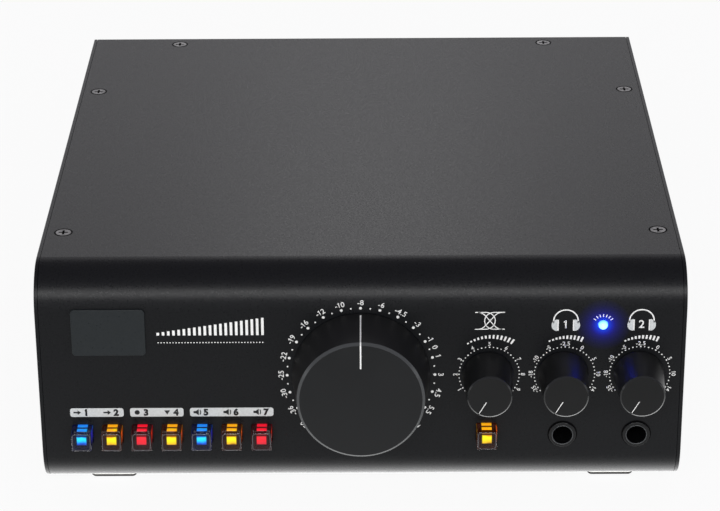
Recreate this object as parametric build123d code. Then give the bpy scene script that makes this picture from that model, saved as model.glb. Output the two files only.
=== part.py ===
from build123d import *
import math
import os

# Studio monitor controller: a desktop box of folded sheet steel with a large
# volume knob, three small knobs, eight lit push buttons and two headphone jacks
# on its front, and its line sockets and mains inlet on its back.
#
# Millimetres. +X is to the right as seen from the front, +Y runs from the front
# to the back, +Z is up. The origin lies on the surface that the feet stand on,
# under the middle of the whole outline.

# ---------------------------------------------------------------- driving sizes
WIDTH = 210.0
DEPTH = 220.0
BODY_HEIGHT = 78.2
BEND_RADIUS = 14.0
WRAP_SHEET = 1.5
SIDE_SHEET = 1.2
SIDE_EDGE_ROUND = 0.3
REAR_SHEET = 1.5
SEAM = 0.15
FOOT_HEIGHT = 5.5

RUNNING = 0.05
EASE = 0.15

MAIN_KNOB_REACH = 18.5
REAR_INSET = 0.8
INLET_FLANGE = 2.5
DRAWER_FACE = 1.2
REAR_REACH = INLET_FLANGE + RUNNING + DRAWER_FACE - REAR_INSET

# ------------------------------------------------------------- derived planes
FRONT = (MAIN_KNOB_REACH - DEPTH - REAR_REACH) / 2
BACK = FRONT + DEPTH
UNDERSIDE = FOOT_HEIGHT
TOP = UNDERSIDE + BODY_HEIGHT
INNER_FRONT = FRONT + WRAP_SHEET
REAR_FACE = BACK - REAR_INSET
REAR_INNER = REAR_FACE - REAR_SHEET
WRAP_HALF = WIDTH / 2 - SIDE_SHEET - SEAM

# ------------------------------------------------------------------ front layout
# Heights are measured up from the underside of the box.
DIAL_LEVEL = UNDERSIDE + 41.95
JACK_LEVEL = UNDERSIDE + 19.95
BUTTON_LEVEL = UNDERSIDE + 20.6
SMALL_DIAL_X = {"crossfeed": 41.15, "phones_1": 65.6, "phones_2": 90.0}
JACK_X = {"phones_jack_1": 65.9, "phones_jack_2": 90.1}
BUTTON_PITCH = 9.8
FIRST_BUTTON_X = -91.4
CROSSFEED_BUTTON_X = 41.0
LED_X, LED_LEVEL = 78.07, UNDERSIDE + 59.6
SMALL_KNOB_REST = -150.0

# ------------------------------------------------------------------- rear layout
SOCKET_PITCH = 28.0
INPUT_COLUMNS = (-88.0, -88.0 + SOCKET_PITCH)
OUTPUT_COLUMNS = (-29.0, -29.0 + SOCKET_PITCH)
SUB_COLUMN = -29.0 + 2 * SOCKET_PITCH
SOCKET_ROWS = (UNDERSIDE + 56.2, UNDERSIDE + 21.5)
ROCKER_X, ROCKER_LEVEL = 53.0, UNDERSIDE + 38.8
INLET_X, INLET_LEVEL = 80.0, UNDERSIDE + 38.8


# --------------------------------------------------------------- shape helpers
def block(x_span, y_span, z_span):
    """Box between a low and a high value on each axis."""
    spans = (x_span, y_span, z_span)
    lows = [min(span) for span in spans]
    sizes = [max(span) - min(span) for span in spans]
    return Pos(*lows) * Box(*sizes, align=(Align.MIN, Align.MIN, Align.MIN))


def centred(half_width, middle=0.0):
    """Span of plus and minus half_width about middle."""
    return (middle - half_width, middle + half_width)


def rod(radius, near, far, x=0.0, z=0.0):
    """Round bar along Y."""
    bar = Cylinder(radius, far - near, align=(Align.CENTER, Align.CENTER, Align.MIN))
    return Pos(x, near, z) * Rot(X=-90) * bar


def post(radius, low, high, x=0.0, y=0.0):
    """Round bar along Z."""
    bar = Cylinder(radius, high - low, align=(Align.CENTER, Align.CENTER, Align.MIN))
    return Pos(x, y, low) * bar


def plate(width, height, corner, near, far):
    """Upright plate with rounded corners, centred on the Y axis."""
    outline = RectangleRounded(width, height, corner)
    return extrude(Plane.XZ.offset(-far) * outline, far - near)


def turned(points):
    """Solid of revolution about Y from (radius, distance ahead of Y = 0) points."""
    section = [(radius, -ahead) for radius, ahead in points]
    return revolve(make_face(Polyline(*section, close=True)), Axis.Y)


def turned_upright(points):
    """Solid of revolution about Z from (radius, height) points."""
    section = make_face(Polyline(*points, close=True))
    return revolve(Plane.XZ * section, Axis.Z)


def hexagon_nut(across_flats, bore, near, far):
    """Hexagon nut on the Y axis."""
    outline = RegularPolygon(across_flats / 2, 6, major_radius=False)
    ring = extrude(Plane.XZ.offset(-far) * outline, far - near)
    return ring - rod(bore, near, far)


# ------------------------------------------------------------------- the screws
SCREW_HEAD = 3.0
SCREW_SHANK = 1.5
HEAD_DEPTH = 1.5
SCREW_LENGTH = 6.0
CROSS_LENGTH, CROSS_WIDTH, CROSS_DEPTH = 3.2, 0.75, 0.8
SCREW_CLEARANCE = 0.1


def countersunk_screw():
    """Cross-head countersunk M3 screw, its head flush with Z = 0 and facing up."""
    body = turned_upright([
        (0, 0),
        (SCREW_HEAD, 0),
        (SCREW_SHANK, -HEAD_DEPTH),
        (SCREW_SHANK, -SCREW_LENGTH),
        (0, -SCREW_LENGTH),
    ])
    slot = Box(CROSS_LENGTH, CROSS_WIDTH, 2 * CROSS_DEPTH)
    return body - slot - Rot(Z=90) * slot


def countersink(depth):
    """Cutter for a countersunk hole from Z = 0 down through the given depth."""
    wide = SCREW_HEAD + SCREW_CLEARANCE
    narrow = SCREW_SHANK + SCREW_CLEARANCE
    return turned_upright([
        (0, 0),
        (wide, 0),
        (narrow, -HEAD_DEPTH),
        (narrow, -depth),
        (0, -depth),
    ])


CASE_SCREWS = [
    (side * x, FRONT + ahead)
    for side in (-1, 1)
    for x, ahead in ((98.2, 33.5), (98.2, 163.0), (71.0, 214.0))
]


def on_top(x, y):
    return Pos(x, y, TOP)


def on_underside(x, y):
    return Pos(x, y, UNDERSIDE) * Rot(X=180)


def top_screws():
    return [on_top(x, y) * countersunk_screw() for x, y in CASE_SCREWS]


def underside_screws():
    return [on_underside(x, y) * countersunk_screw() for x, y in CASE_SCREWS]


# ------------------------------------------------------------------ the housing
FLANGE_WIDTH = 13.0
REAR_FLANGE_HALF = 85.0
BUTTON_WINDOW = 7.0
WINDOW_CORNER = 0.7
MAIN_BUSH, SMALL_BUSH = 4.7, 3.5
JACK_RIM = 4.5
LED_RADIUS = 1.5
FOOT_SIZE = 15.2
FOOT_X = 83.8
FOOT_SETBACK = 18.0
FOOT_SPOTS = [
    (side * FOOT_X, y)
    for side in (-1, 1)
    for y in (FRONT + FOOT_SETBACK + FOOT_SIZE / 2, BACK - FOOT_SETBACK - FOOT_SIZE / 2)
]
BUTTON_X = [FIRST_BUTTON_X + BUTTON_PITCH * i for i in range(7)] + [CROSSFEED_BUTTON_X]


def side_outline(inset):
    """Side view of the box, square at the back and rounded at the front corners."""
    corner = Pos(FRONT + inset, UNDERSIDE + inset)
    align = (Align.MIN, Align.MIN)
    sheet = corner * Rectangle(DEPTH - inset, BODY_HEIGHT - 2 * inset, align=align)
    front_corners = sheet.vertices().group_by(Axis.X)[0]
    return fillet(front_corners, BEND_RADIUS - inset)


def wrap_stretches():
    """One folded sheet, pierced for the controls, as its front, top and bottom stretches.

    The front stretch holds both bends, and the flat top and bottom begin where they end.
    """
    section = side_outline(0) - side_outline(WRAP_SHEET)
    shell = extrude(Plane.YZ.offset(-WRAP_HALF) * section, 2 * WRAP_HALF)
    through = (FRONT - 1, INNER_FRONT + 1)
    cutters = [rod(MAIN_BUSH + EASE, *through, 0, DIAL_LEVEL)]
    cutters += [rod(SMALL_BUSH + EASE, *through, x, DIAL_LEVEL) for x in SMALL_DIAL_X.values()]
    cutters += [rod(JACK_RIM + EASE, *through, x, JACK_LEVEL) for x in JACK_X.values()]
    cutters.append(rod(LED_RADIUS + EASE, *through, LED_X, LED_LEVEL))
    window = plate(BUTTON_WINDOW, BUTTON_WINDOW, WINDOW_CORNER, *through)
    cutters += [Pos(x, 0, BUTTON_LEVEL) * window for x in BUTTON_X]
    hole = countersink(WRAP_SHEET + 1)
    cutters += [on_top(x, y) * hole for x, y in CASE_SCREWS]
    cutters += [on_underside(x, y) * hole for x, y in CASE_SCREWS]
    lifted = UNDERSIDE + WRAP_SHEET + 1
    cutters += [post(SCREW_SHANK + SCREW_CLEARANCE, 0, lifted, x, y) for x, y in FOOT_SPOTS]
    bend_end = Plane.XZ.offset(-FRONT - BEND_RADIUS)
    return list(split(shell - cutters, bisect_by=bend_end, keep=Keep.BOTH).solids().sort_by(Axis.Y))


def screw_holes(spots):
    """Cutters for the case screws, right through the box."""
    radius = SCREW_SHANK + SCREW_CLEARANCE / 2
    return [post(radius, 0, TOP, x, y) for x, y in spots]


def right_side_wall():
    """Flat side with a flange folded in under the top and over the bottom."""
    outer = WIDTH / 2
    wall = extrude(Plane.YZ.offset(outer - SIDE_SHEET) * side_outline(0), SIDE_SHEET)
    wall = fillet(wall.edges().group_by(Axis.X)[-1], SIDE_EDGE_ROUND)
    across = (outer - FLANGE_WIDTH, outer - SIDE_SHEET)
    along = (FRONT + BEND_RADIUS + 2, REAR_INNER - SEAM)
    low, high = UNDERSIDE + WRAP_SHEET, TOP - WRAP_SHEET
    wall += block(across, along, (high - SIDE_SHEET, high))
    wall += block(across, along, (low, low + SIDE_SHEET))
    inside_folds = wall.edges().filter_by(Axis.Y).filter_by(
        lambda edge: abs(edge.center().X - across[1]) < 0.01
        and low + SIDE_SHEET / 2 < edge.center().Z < high - SIDE_SHEET / 2
    )
    wall = fillet(inside_folds, 1.0)
    flange_spots = [spot for spot in CASE_SCREWS if spot[0] > across[0]]
    return wall - screw_holes(flange_spots)


# ------------------------------------------------- three-pole line sockets (rear)
SOCKET_WIDTH, SOCKET_HEIGHT, SOCKET_CORNER = 26.0, 31.0, 2.5
SOCKET_FLANGE = 1.8
SOCKET_BARREL = 11.9
SOCKET_LENGTH = 22.0
SOCKET_MOUTH = 9.7
SOCKET_CAVITY = 14.0
SOCKET_SCREW_X, SOCKET_SCREW_Z = 9.5, 12.0
PIN_CIRCLE, PIN_RADIUS, PIN_SETBACK = 3.95, 1.2, 4.4
INSERT_RADIUS = 7.9
LATCH_HALF, LATCH_LOW, LATCH_HIGH = 2.8, 9.0, 11.0
LATCH_PROUD, LATCH_TRAVEL, LATCH_DEPTH = 1.0, 1.5, 3.0
SOCKET_FRONT = REAR_FACE + SOCKET_FLANGE

INPUT_SPOTS = [(x, z) for x in INPUT_COLUMNS for z in SOCKET_ROWS]
OUTPUT_SPOTS = [(x, z) for x in OUTPUT_COLUMNS for z in SOCKET_ROWS]
OUTPUT_SPOTS.append((SUB_COLUMN, SOCKET_ROWS[1]))
SOCKET_SPOTS = INPUT_SPOTS + OUTPUT_SPOTS
SOCKET_SCREW_SPOTS = [
    (x + side * SOCKET_SCREW_X, z - side * SOCKET_SCREW_Z)
    for x, z in SOCKET_SPOTS
    for side in (-1, 1)
]


def on_rear(x, z, y=SOCKET_FRONT):
    """Place a shape made facing up so that it faces backwards out of the rear panel."""
    return Pos(x, y, z) * Rot(X=-90)


def socket_body():
    """Flange and barrel with a round mouth, its flange face at Y = 0."""
    body = plate(SOCKET_WIDTH, SOCKET_HEIGHT, SOCKET_CORNER, -SOCKET_FLANGE, 0)
    body += rod(SOCKET_BARREL, -SOCKET_LENGTH, -SOCKET_FLANGE)
    body -= rod(SOCKET_MOUTH, -SOCKET_CAVITY, 0)
    hole = Rot(X=-90) * countersink(SOCKET_FLANGE + 1)
    for side in (-1, 1):
        body -= Pos(side * SOCKET_SCREW_X, 0, -side * SOCKET_SCREW_Z) * hole
    return body


def input_socket():
    """Socket with a window at the top of its mouth for the latch."""
    window = block(
        centred(LATCH_HALF + EASE),
        (-LATCH_DEPTH - LATCH_TRAVEL - 0.5, 0),
        (SOCKET_MOUTH - 1, LATCH_HIGH + EASE),
    )
    return socket_body() - window


def contact_places():
    """Centres of the three contacts: two above, one below."""
    return [
        (PIN_CIRCLE * math.sin(math.radians(turn)), PIN_CIRCLE * math.cos(math.radians(turn)))
        for turn in (-62, 62, 180)
    ]


def input_insert():
    """Round contact block with three holes, standing in the mouth of an input."""
    insert = rod(INSERT_RADIUS, -SOCKET_CAVITY, -0.5)
    holes = [rod(PIN_RADIUS + EASE, -11, 0, x, z) for x, z in contact_places()]
    keyway = block(centred(1.6), (-9, 0), (-INSERT_RADIUS - 1, -INSERT_RADIUS + 1.0))
    return insert - holes - keyway


def input_latch():
    """Push tab that frees the plug."""
    depth = (-LATCH_DEPTH, LATCH_PROUD)
    tab = block(centred(LATCH_HALF), depth, (LATCH_LOW, LATCH_HIGH))
    outer_edges = tab.edges().group_by(Axis.Y)[-1]
    return chamfer(outer_edges, 0.35)


def socket_screws():
    return [on_rear(x, z) * countersunk_screw() for x, z in SOCKET_SCREW_SPOTS]


def input_sockets():
    return [Pos(x, SOCKET_FRONT, z) * input_socket() for x, z in INPUT_SPOTS]


def input_inserts():
    return [Pos(x, SOCKET_FRONT, z) * input_insert() for x, z in INPUT_SPOTS]


def output_sockets():
    return [Pos(x, SOCKET_FRONT, z) * socket_body() for x, z in OUTPUT_SPOTS]


def output_pins():
    pins = []
    for x, z in OUTPUT_SPOTS:
        for across, up in contact_places():
            pin = rod(PIN_RADIUS, -SOCKET_CAVITY, -PIN_SETBACK)
            tip = pin.edges().group_by(Axis.Y)[-1]
            pins.append(Pos(x + across, SOCKET_FRONT, z + up) * chamfer(tip, 0.5))
    return pins


# -------------------------------------------------------- mains inlet and switch
INLET_WIDTH, INLET_HEIGHT, INLET_CORNER = 30.0, 46.0, 3.0
INLET_LENGTH = 24.0
INLET_BODY_WIDTH, INLET_BODY_HEIGHT = 27.0, 43.0
PLUG_WIDTH, PLUG_HEIGHT, PLUG_DEPTH, PLUG_CORNER = 24.0, 16.4, 17.0, 4.0
PLUG_DROP = 8.0
DRAWER_WIDTH, DRAWER_HEIGHT, DRAWER_LENGTH = 19.0, 7.4, 17.0
DRAWER_FACE_WIDTH, DRAWER_FACE_HEIGHT = 22.0, 9.4
DRAWER_RISE = 13.5
INLET_FRONT = REAR_FACE + INLET_FLANGE

ROCKER_FRAME_WIDTH, ROCKER_FRAME_HEIGHT = 15.0, 21.0
ROCKER_FRAME_FLANGE, ROCKER_BODY_LENGTH = 2.0, 18.0
ROCKER_BODY_WIDTH, ROCKER_BODY_HEIGHT = 13.0, 18.8
ROCKER_HALF_WIDTH, ROCKER_HALF_HEIGHT = 5.0, 7.2
ROCKER_WELL_HALF_WIDTH, ROCKER_WELL_HALF_HEIGHT = 5.2, 8.1
ROCKER_PIVOT_DEPTH, ROCKER_TILT = 4.0, 9.0
ROCKER_PIN = 0.9
ROCKER_PIN_REACH = 5.9
ROCKER_FRONT = REAR_FACE + ROCKER_FRAME_FLANGE


def plug_recess():
    """Cutter for the mains recess, with its two upper corners cut off."""
    half, low, high = PLUG_WIDTH / 2, -PLUG_HEIGHT / 2, PLUG_HEIGHT / 2
    outline = make_face(Polyline(
        (-half, low),
        (half, low),
        (half, high - PLUG_CORNER),
        (half - PLUG_CORNER, high),
        (PLUG_CORNER - half, high),
        (-half, high - PLUG_CORNER),
        close=True,
    ))
    return extrude(Plane.XZ * outline, PLUG_DEPTH)


def mains_inlet():
    body = plate(INLET_WIDTH, INLET_HEIGHT, INLET_CORNER, -INLET_FLANGE, 0)
    body = chamfer(body.edges().group_by(Axis.Y)[-1], 0.6)
    body += plate(INLET_BODY_WIDTH, INLET_BODY_HEIGHT, 1.5, -INLET_LENGTH, -INLET_FLANGE)
    body -= Pos(0, 0, -PLUG_DROP) * plug_recess()
    body -= Pos(0, 0, DRAWER_RISE) * block(
        centred(DRAWER_WIDTH / 2 + EASE),
        (-DRAWER_LENGTH - 1, 0),
        centred(DRAWER_HEIGHT / 2 + EASE),
    )
    return Pos(INLET_X, INLET_FRONT, INLET_LEVEL) * body


def inlet_blades():
    """Live, neutral and earth blades standing in the mains recess."""
    blades = []
    for x, z in ((-7.0, -2.0), (7.0, -2.0), (0.0, 2.0)):
        blade = block(centred(1.0, x), (-PLUG_DEPTH, -4.5), centred(2.0, z))
        blade = chamfer(blade.edges().group_by(Axis.Y)[-1], 0.4)
        blades.append(Pos(INLET_X, INLET_FRONT, INLET_LEVEL - PLUG_DROP) * blade)
    return blades


def fuse_drawer():
    """Pull-out fuse tray with a finger edge."""
    tray = block(
        centred(DRAWER_WIDTH / 2), (-DRAWER_LENGTH, 0), centred(DRAWER_HEIGHT / 2)
    )
    tray -= Pos(0, 0, 1.0) * block(
        centred(DRAWER_WIDTH / 2 - 1.4),
        (1.5 - DRAWER_LENGTH, -1.5),
        (-DRAWER_HEIGHT / 2, DRAWER_HEIGHT),
    )
    face = Pos(0, RUNNING, 0) * plate(
        DRAWER_FACE_WIDTH, DRAWER_FACE_HEIGHT, 1.0, 0, DRAWER_FACE
    )
    face -= block(centred(4.0), (DRAWER_FACE - 0.5, DRAWER_FACE + 1), (1.6, 3.0))
    bridge = block(centred(DRAWER_WIDTH / 2), (-0.1, 2 * RUNNING), centred(DRAWER_HEIGHT / 2))
    return Pos(INLET_X, INLET_FRONT, INLET_LEVEL + DRAWER_RISE) * (tray + bridge + face)


def at_rocker(shape):
    return Pos(ROCKER_X, ROCKER_FRONT, ROCKER_LEVEL) * shape


def power_rocker_frame():
    frame = plate(ROCKER_FRAME_WIDTH, ROCKER_FRAME_HEIGHT, 1.5, -ROCKER_FRAME_FLANGE, 0)
    frame = chamfer(frame.edges().group_by(Axis.Y)[-1], 0.5)
    frame += plate(
        ROCKER_BODY_WIDTH, ROCKER_BODY_HEIGHT, 0.8, -ROCKER_BODY_LENGTH, -ROCKER_FRAME_FLANGE
    )
    frame -= block(
        centred(ROCKER_WELL_HALF_WIDTH), (-11, 0), centred(ROCKER_WELL_HALF_HEIGHT)
    )
    pivot = Pos(0, -ROCKER_PIVOT_DEPTH, 0) * Rot(Y=90) * Cylinder(
        ROCKER_PIN + RUNNING, 2 * ROCKER_PIN_REACH + 0.2
    )
    return at_rocker(frame - pivot)


def power_rocker():
    """Rocker on two stub pins, standing in its on position."""
    high, middle, keel = 4.6, 3.7, -4.5
    outline = make_face(Polyline(
        (0, keel),
        (ROCKER_HALF_HEIGHT, -0.5),
        (ROCKER_HALF_HEIGHT, high),
        (0, middle),
        (-ROCKER_HALF_HEIGHT, high),
        (-ROCKER_HALF_HEIGHT, -0.5),
        close=True,
    ))
    across = Plane(origin=(-ROCKER_HALF_WIDTH, 0, 0), x_dir=(0, 0, 1), z_dir=(1, 0, 0))
    key = extrude(across * mirror(outline, Plane.XZ), 2 * ROCKER_HALF_WIDTH)
    key += Rot(Y=90) * Cylinder(ROCKER_PIN, 2 * ROCKER_PIN_REACH)
    return at_rocker(Pos(0, -ROCKER_PIVOT_DEPTH, 0) * Rot(X=ROCKER_TILT) * key)


def rear_panel():
    """Upright panel with a flange folded forward at its top and bottom."""
    low, high = UNDERSIDE + WRAP_SHEET, TOP - WRAP_SHEET
    panel = block(centred(WIDTH / 2 - SIDE_SHEET - SEAM), (REAR_INNER, REAR_FACE), (low, high))
    along = (REAR_INNER - FLANGE_WIDTH + REAR_SHEET, REAR_INNER)
    panel += block(centred(REAR_FLANGE_HALF), along, (high - REAR_SHEET, high))
    panel += block(centred(REAR_FLANGE_HALF), along, (low, low + REAR_SHEET))
    through = (REAR_INNER - 1, REAR_FACE + 1)
    cutters = [rod(SOCKET_BARREL + EASE, *through, x, z) for x, z in SOCKET_SPOTS]
    shank = SCREW_SHANK + SCREW_CLEARANCE
    cutters += [rod(shank, *through, x, z) for x, z in SOCKET_SCREW_SPOTS]
    cutters.append(Pos(INLET_X, 0, INLET_LEVEL) * block(
        centred(INLET_BODY_WIDTH / 2 + EASE), through, centred(INLET_BODY_HEIGHT / 2 + EASE)
    ))
    cutters.append(Pos(ROCKER_X, 0, ROCKER_LEVEL) * block(
        centred(ROCKER_BODY_WIDTH / 2 + EASE), through, centred(ROCKER_BODY_HEIGHT / 2 + EASE)
    ))
    cutters += screw_holes([spot for spot in CASE_SCREWS if abs(spot[0]) < REAR_FLANGE_HALF])
    return panel - cutters


# -------------------------------------------------------------- feet and badge
FOOT_RECESS, FOOT_RECESS_DEPTH = 3.7, 3.0
FOOT_SCREW_HEAD, FOOT_SCREW_RISE = 3.0, 1.0
BADGE_WIDTH, BADGE_HEIGHT, BADGE_CORNER, BADGE_THICKNESS = 23.9, 16.4, 1.3, 0.8
BADGE_X, BADGE_LEVEL = -81.45, UNDERSIDE + 57.8


def foot():
    """Square rubber foot with rounded corners and a recess for its screw."""
    outline = RectangleRounded(FOOT_SIZE, FOOT_SIZE, 1.5)
    pad = extrude(outline, FOOT_HEIGHT)
    pad = chamfer(pad.edges().group_by(Axis.Z)[0], 0.5)
    pad -= post(FOOT_RECESS, 0, FOOT_RECESS_DEPTH)
    return pad - post(SCREW_SHANK + SCREW_CLEARANCE, 0, FOOT_HEIGHT)


def rubber_feet():
    return [Pos(x, y, 0) * foot() for x, y in FOOT_SPOTS]


def foot_screws():
    """Pan-head screws up through the feet into the bottom."""
    end = UNDERSIDE + 4.5
    screw = turned_upright([
        (0, FOOT_SCREW_RISE),
        (FOOT_SCREW_HEAD - 0.6, FOOT_SCREW_RISE),
        (FOOT_SCREW_HEAD, FOOT_SCREW_RISE + 0.6),
        (FOOT_SCREW_HEAD, FOOT_RECESS_DEPTH),
        (SCREW_SHANK, FOOT_RECESS_DEPTH),
        (SCREW_SHANK, end),
        (0, end),
    ])
    return [Pos(x, y, 0) * screw for x, y in FOOT_SPOTS]


def badge_plate():
    face = plate(BADGE_WIDTH, BADGE_HEIGHT, BADGE_CORNER, FRONT - BADGE_THICKNESS, FRONT)
    face = fillet(face.edges().group_by(Axis.Y)[0], 0.25)
    return Pos(BADGE_X, 0, BADGE_LEVEL) * face


# ------------------------------------------------------------------------ knobs
SHAFT_RADIUS = 3.0
SHAFT_FLAT = 1.5
KNOB_GAP = 0.5
MAIN_KNOB_BASE, MAIN_KNOB_RIM, MAIN_RIM_BEVEL = 22.4, 20.5, 0.85
SMALL_KNOB_BASE, SMALL_KNOB_RIM, SMALL_RIM_BEVEL = 8.3, 7.25, 0.45
MAIN_POINTER_WIDTH, SMALL_POINTER_WIDTH = 0.45, 0.45
POINTER_DEPTH = 0.4
MAIN_POINTER_END, SMALL_POINTER_END = 11.4, 2.2
MAIN_SHAFT_END, SMALL_SHAFT_END = 14.8, 12.8
SMALL_KNOB_REACH = 16.4


def flatted_shaft(radius, tail, round_end, end):
    """Shaft along Y whose front end carries a flat on its upper side."""
    shaft = rod(radius, -end, tail)
    flat = block(centred(radius), (-end, -round_end), (SHAFT_RADIUS - SHAFT_FLAT, radius))
    return shaft - flat


def knob_skin(base, rim, reach, bevel, inset=0.0):
    """Outer form of a knob with a bevelled rim, moved in by inset all round."""
    leg = bevel - inset * (2 - math.sqrt(2))
    return turned([
        (0, 0.2),
        (base - inset, 0.2 + KNOB_GAP),
        (rim - inset, reach - inset - leg),
        (rim - inset - leg, reach - inset),
        (0, reach - inset),
    ])


def main_knob_skin(inset=0.0):
    return knob_skin(MAIN_KNOB_BASE, MAIN_KNOB_RIM, MAIN_KNOB_REACH, MAIN_RIM_BEVEL, inset)


def small_knob_skin(inset=0.0):
    return knob_skin(SMALL_KNOB_BASE, SMALL_KNOB_RIM, SMALL_KNOB_REACH, SMALL_RIM_BEVEL, inset)


def main_pointer_strip():
    """White line let into the side and the face of the large knob."""
    strip = block(centred(MAIN_POINTER_WIDTH / 2), (-MAIN_KNOB_REACH, -1.7), (MAIN_POINTER_END, 23))
    return (main_knob_skin() - main_knob_skin(POINTER_DEPTH)) & strip


def main_knob():
    """Large knob: a cup with a hub that grips the flatted shaft."""
    hollow = turned([
        (6.0, 0),
        (20.4, 0),
        (18.6, 15.4),
        (6.0, 15.4),
    ])
    under_hub = rod(6.0, -4.6, 0)
    grip = flatted_shaft(SHAFT_RADIUS + 0.02, 0, 5.0, MAIN_SHAFT_END + 0.1)
    return main_knob_skin() - [hollow, under_hub, grip, main_pointer_strip()]


def small_knob():
    """Small knob with a groove for its pointer line, pointer upwards."""
    nut_room = rod(6.2, -3.9, 0)
    grip = flatted_shaft(SHAFT_RADIUS + 0.02, 0, 4.2, SMALL_SHAFT_END + 0.1)
    groove = (small_knob_skin() - small_knob_skin(POINTER_DEPTH / 2)) & block(
        centred(SMALL_POINTER_WIDTH / 2), (-SMALL_KNOB_REACH, -1.5), (SMALL_POINTER_END, 9)
    )
    return small_knob_skin() - [nut_room, grip, groove]


def at_dial(x, shape, turn=0.0):
    """Place a shape made on the Y axis on a dial of the front, turned clockwise."""
    return Pos(x, FRONT, DIAL_LEVEL) * Rot(Y=turn) * shape


# --------------------------------------------------------------- potentiometers
MAIN_POT_RADIUS, MAIN_POT_END, MAIN_SHAFT_TAIL = 12.0, 22.0, 19.0
SMALL_POT_HALF, SMALL_SHAFT_TAIL = 6.0, 9.0
BOARD_FRONT, BOARD_THICKNESS = 14.0, 1.6
MAIN_BUSH_END, SMALL_BUSH_END = 4.2, 3.6


def main_pot_body():
    """Round potentiometer with the threaded bush that its shaft turns in."""
    body = rod(MAIN_POT_RADIUS, WRAP_SHEET, MAIN_POT_END)
    body += rod(MAIN_BUSH, -MAIN_BUSH_END, WRAP_SHEET)
    body -= rod(SHAFT_RADIUS + RUNNING, -MAIN_BUSH_END, MAIN_SHAFT_TAIL + RUNNING)
    return at_dial(0, body)


def small_pot_bodies():
    body = block(
        centred(SMALL_POT_HALF), (WRAP_SHEET, BOARD_FRONT), (-SMALL_POT_HALF - 1, SMALL_POT_HALF)
    )
    body += rod(SMALL_BUSH, -SMALL_BUSH_END, WRAP_SHEET)
    body -= rod(SHAFT_RADIUS + RUNNING, -SMALL_BUSH_END, SMALL_SHAFT_TAIL + RUNNING)
    return [at_dial(x, body) for x in SMALL_DIAL_X.values()]


def pot_nuts():
    nuts = [at_dial(0, hexagon_nut(13.0, MAIN_BUSH, -2.4, 0))]
    small = hexagon_nut(9.5, SMALL_BUSH, -2.2, 0)
    return nuts + [at_dial(x, small) for x in SMALL_DIAL_X.values()]


# ----------------------------------------------------------- lit push buttons
CAP_SIZE, CAP_PROUD, CAP_TAIL, CAP_CORNER, CAP_ROUND = 6.6, 6.0, 3.2, 0.7, 0.35
CORE_WIDTH, CORE_HEIGHT = 3.1, 3.0
CORE_FRONT, CORE_TAIL = 4.4, 9.5
NECK_SPAN, NECK_DEPTH = (-1.6, -1.15), 0.4
BUTTON_TRAVEL = 2.5
SWITCH_SIZE, SWITCH_FRONT, SWITCH_WELL = 8.4, 6.0, 12.6


def button_cap():
    """Clear square cap with a pocket for its coloured core."""
    cap = plate(CAP_SIZE, CAP_SIZE, CAP_CORNER, -CAP_PROUD, CAP_TAIL)
    cap = fillet(cap.edges().group_by(Axis.Y)[0], CAP_ROUND)
    pocket = block(
        centred(CORE_WIDTH / 2 + RUNNING),
        (-CORE_FRONT - RUNNING, CAP_TAIL),
        centred(CORE_HEIGHT / 2 + RUNNING),
    )
    return cap - pocket


def button_core():
    """Coloured light guide in the cap, with a neck; its tail works the switch."""
    half_width, half_height = CORE_WIDTH / 2, CORE_HEIGHT / 2
    core = block(centred(half_width), (-CORE_FRONT, CORE_TAIL), centred(half_height))
    core = chamfer(core.edges().group_by(Axis.Y)[0], 0.2)
    neck = block(centred(half_width - NECK_DEPTH), NECK_SPAN, centred(half_height - NECK_DEPTH))
    collar = block(centred(half_width), NECK_SPAN, centred(half_height))
    return core - (collar - neck)


def button_switches():
    body = plate(SWITCH_SIZE, SWITCH_SIZE, 0.5, SWITCH_FRONT, BOARD_FRONT)
    body -= block(
        centred(CORE_WIDTH / 2 + EASE), (SWITCH_FRONT, SWITCH_WELL), centred(CORE_HEIGHT / 2 + EASE)
    )
    return [at_button(x, body) for x in BUTTON_X]


def at_button(x, shape):
    return Pos(x, FRONT, BUTTON_LEVEL) * shape


# --------------------------------------------------------- headphone jacks, lamp
JACK_BORE, JACK_RIM_PROUD, JACK_BORE_END, JACK_END = 3.2, 0.8, 26.0, 30.0
JACK_LIP_ROUND = 0.3
JACK_HALF = 7.5
JACK_SEAT = WRAP_SHEET + 0.3
LED_COLLAR = 1.9


def phones_jack():
    """Quarter-inch jack: a moulded block whose round nose fills the panel hole."""
    body = block(centred(JACK_HALF), (JACK_SEAT, JACK_END), centred(JACK_HALF))
    nose = rod(JACK_RIM, -JACK_RIM_PROUD, JACK_SEAT)
    jack = (body + nose) - rod(JACK_BORE, -JACK_RIM_PROUD, JACK_BORE_END)
    return fillet(jack.edges().group_by(Axis.Y)[0], JACK_LIP_ROUND)


def power_led():
    """Three millimetre lamp with a domed front, on two leads."""
    collar = (WRAP_SHEET + 0.1, WRAP_SHEET + 1.1)
    lamp = rod(LED_RADIUS, 0, WRAP_SHEET + 4) + Sphere(LED_RADIUS)
    lamp += rod(LED_COLLAR, *collar)
    leads = [block(centred(0.25, x), (WRAP_SHEET + 4, BOARD_FRONT), centred(0.25)) for x in (-0.9, 0.9)]
    return Pos(LED_X, FRONT, LED_LEVEL) * (lamp + leads)


# ------------------------------------------------------------- boards and power
MAIN_BOARD_LEVEL = UNDERSIDE + 9.8
MAIN_BOARD_FRONT = FRONT + 17.0
STANDOFF_RADIUS, STANDOFF_BORE = 3.0, 1.3
STANDOFF_SPOTS = [
    (x, FRONT + back)
    for x, back in ((-86, 42), (86, 42), (86, 68), (-86, 172), (12, 172), (0, 24))
]
TRANSFORMER_X, TRANSFORMER_Y = 60.0, FRONT + 124.0
TRANSFORMER_RADIUS, TRANSFORMER_HEIGHT, TRANSFORMER_HOLE = 31.0, 28.0, 10.0


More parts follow.
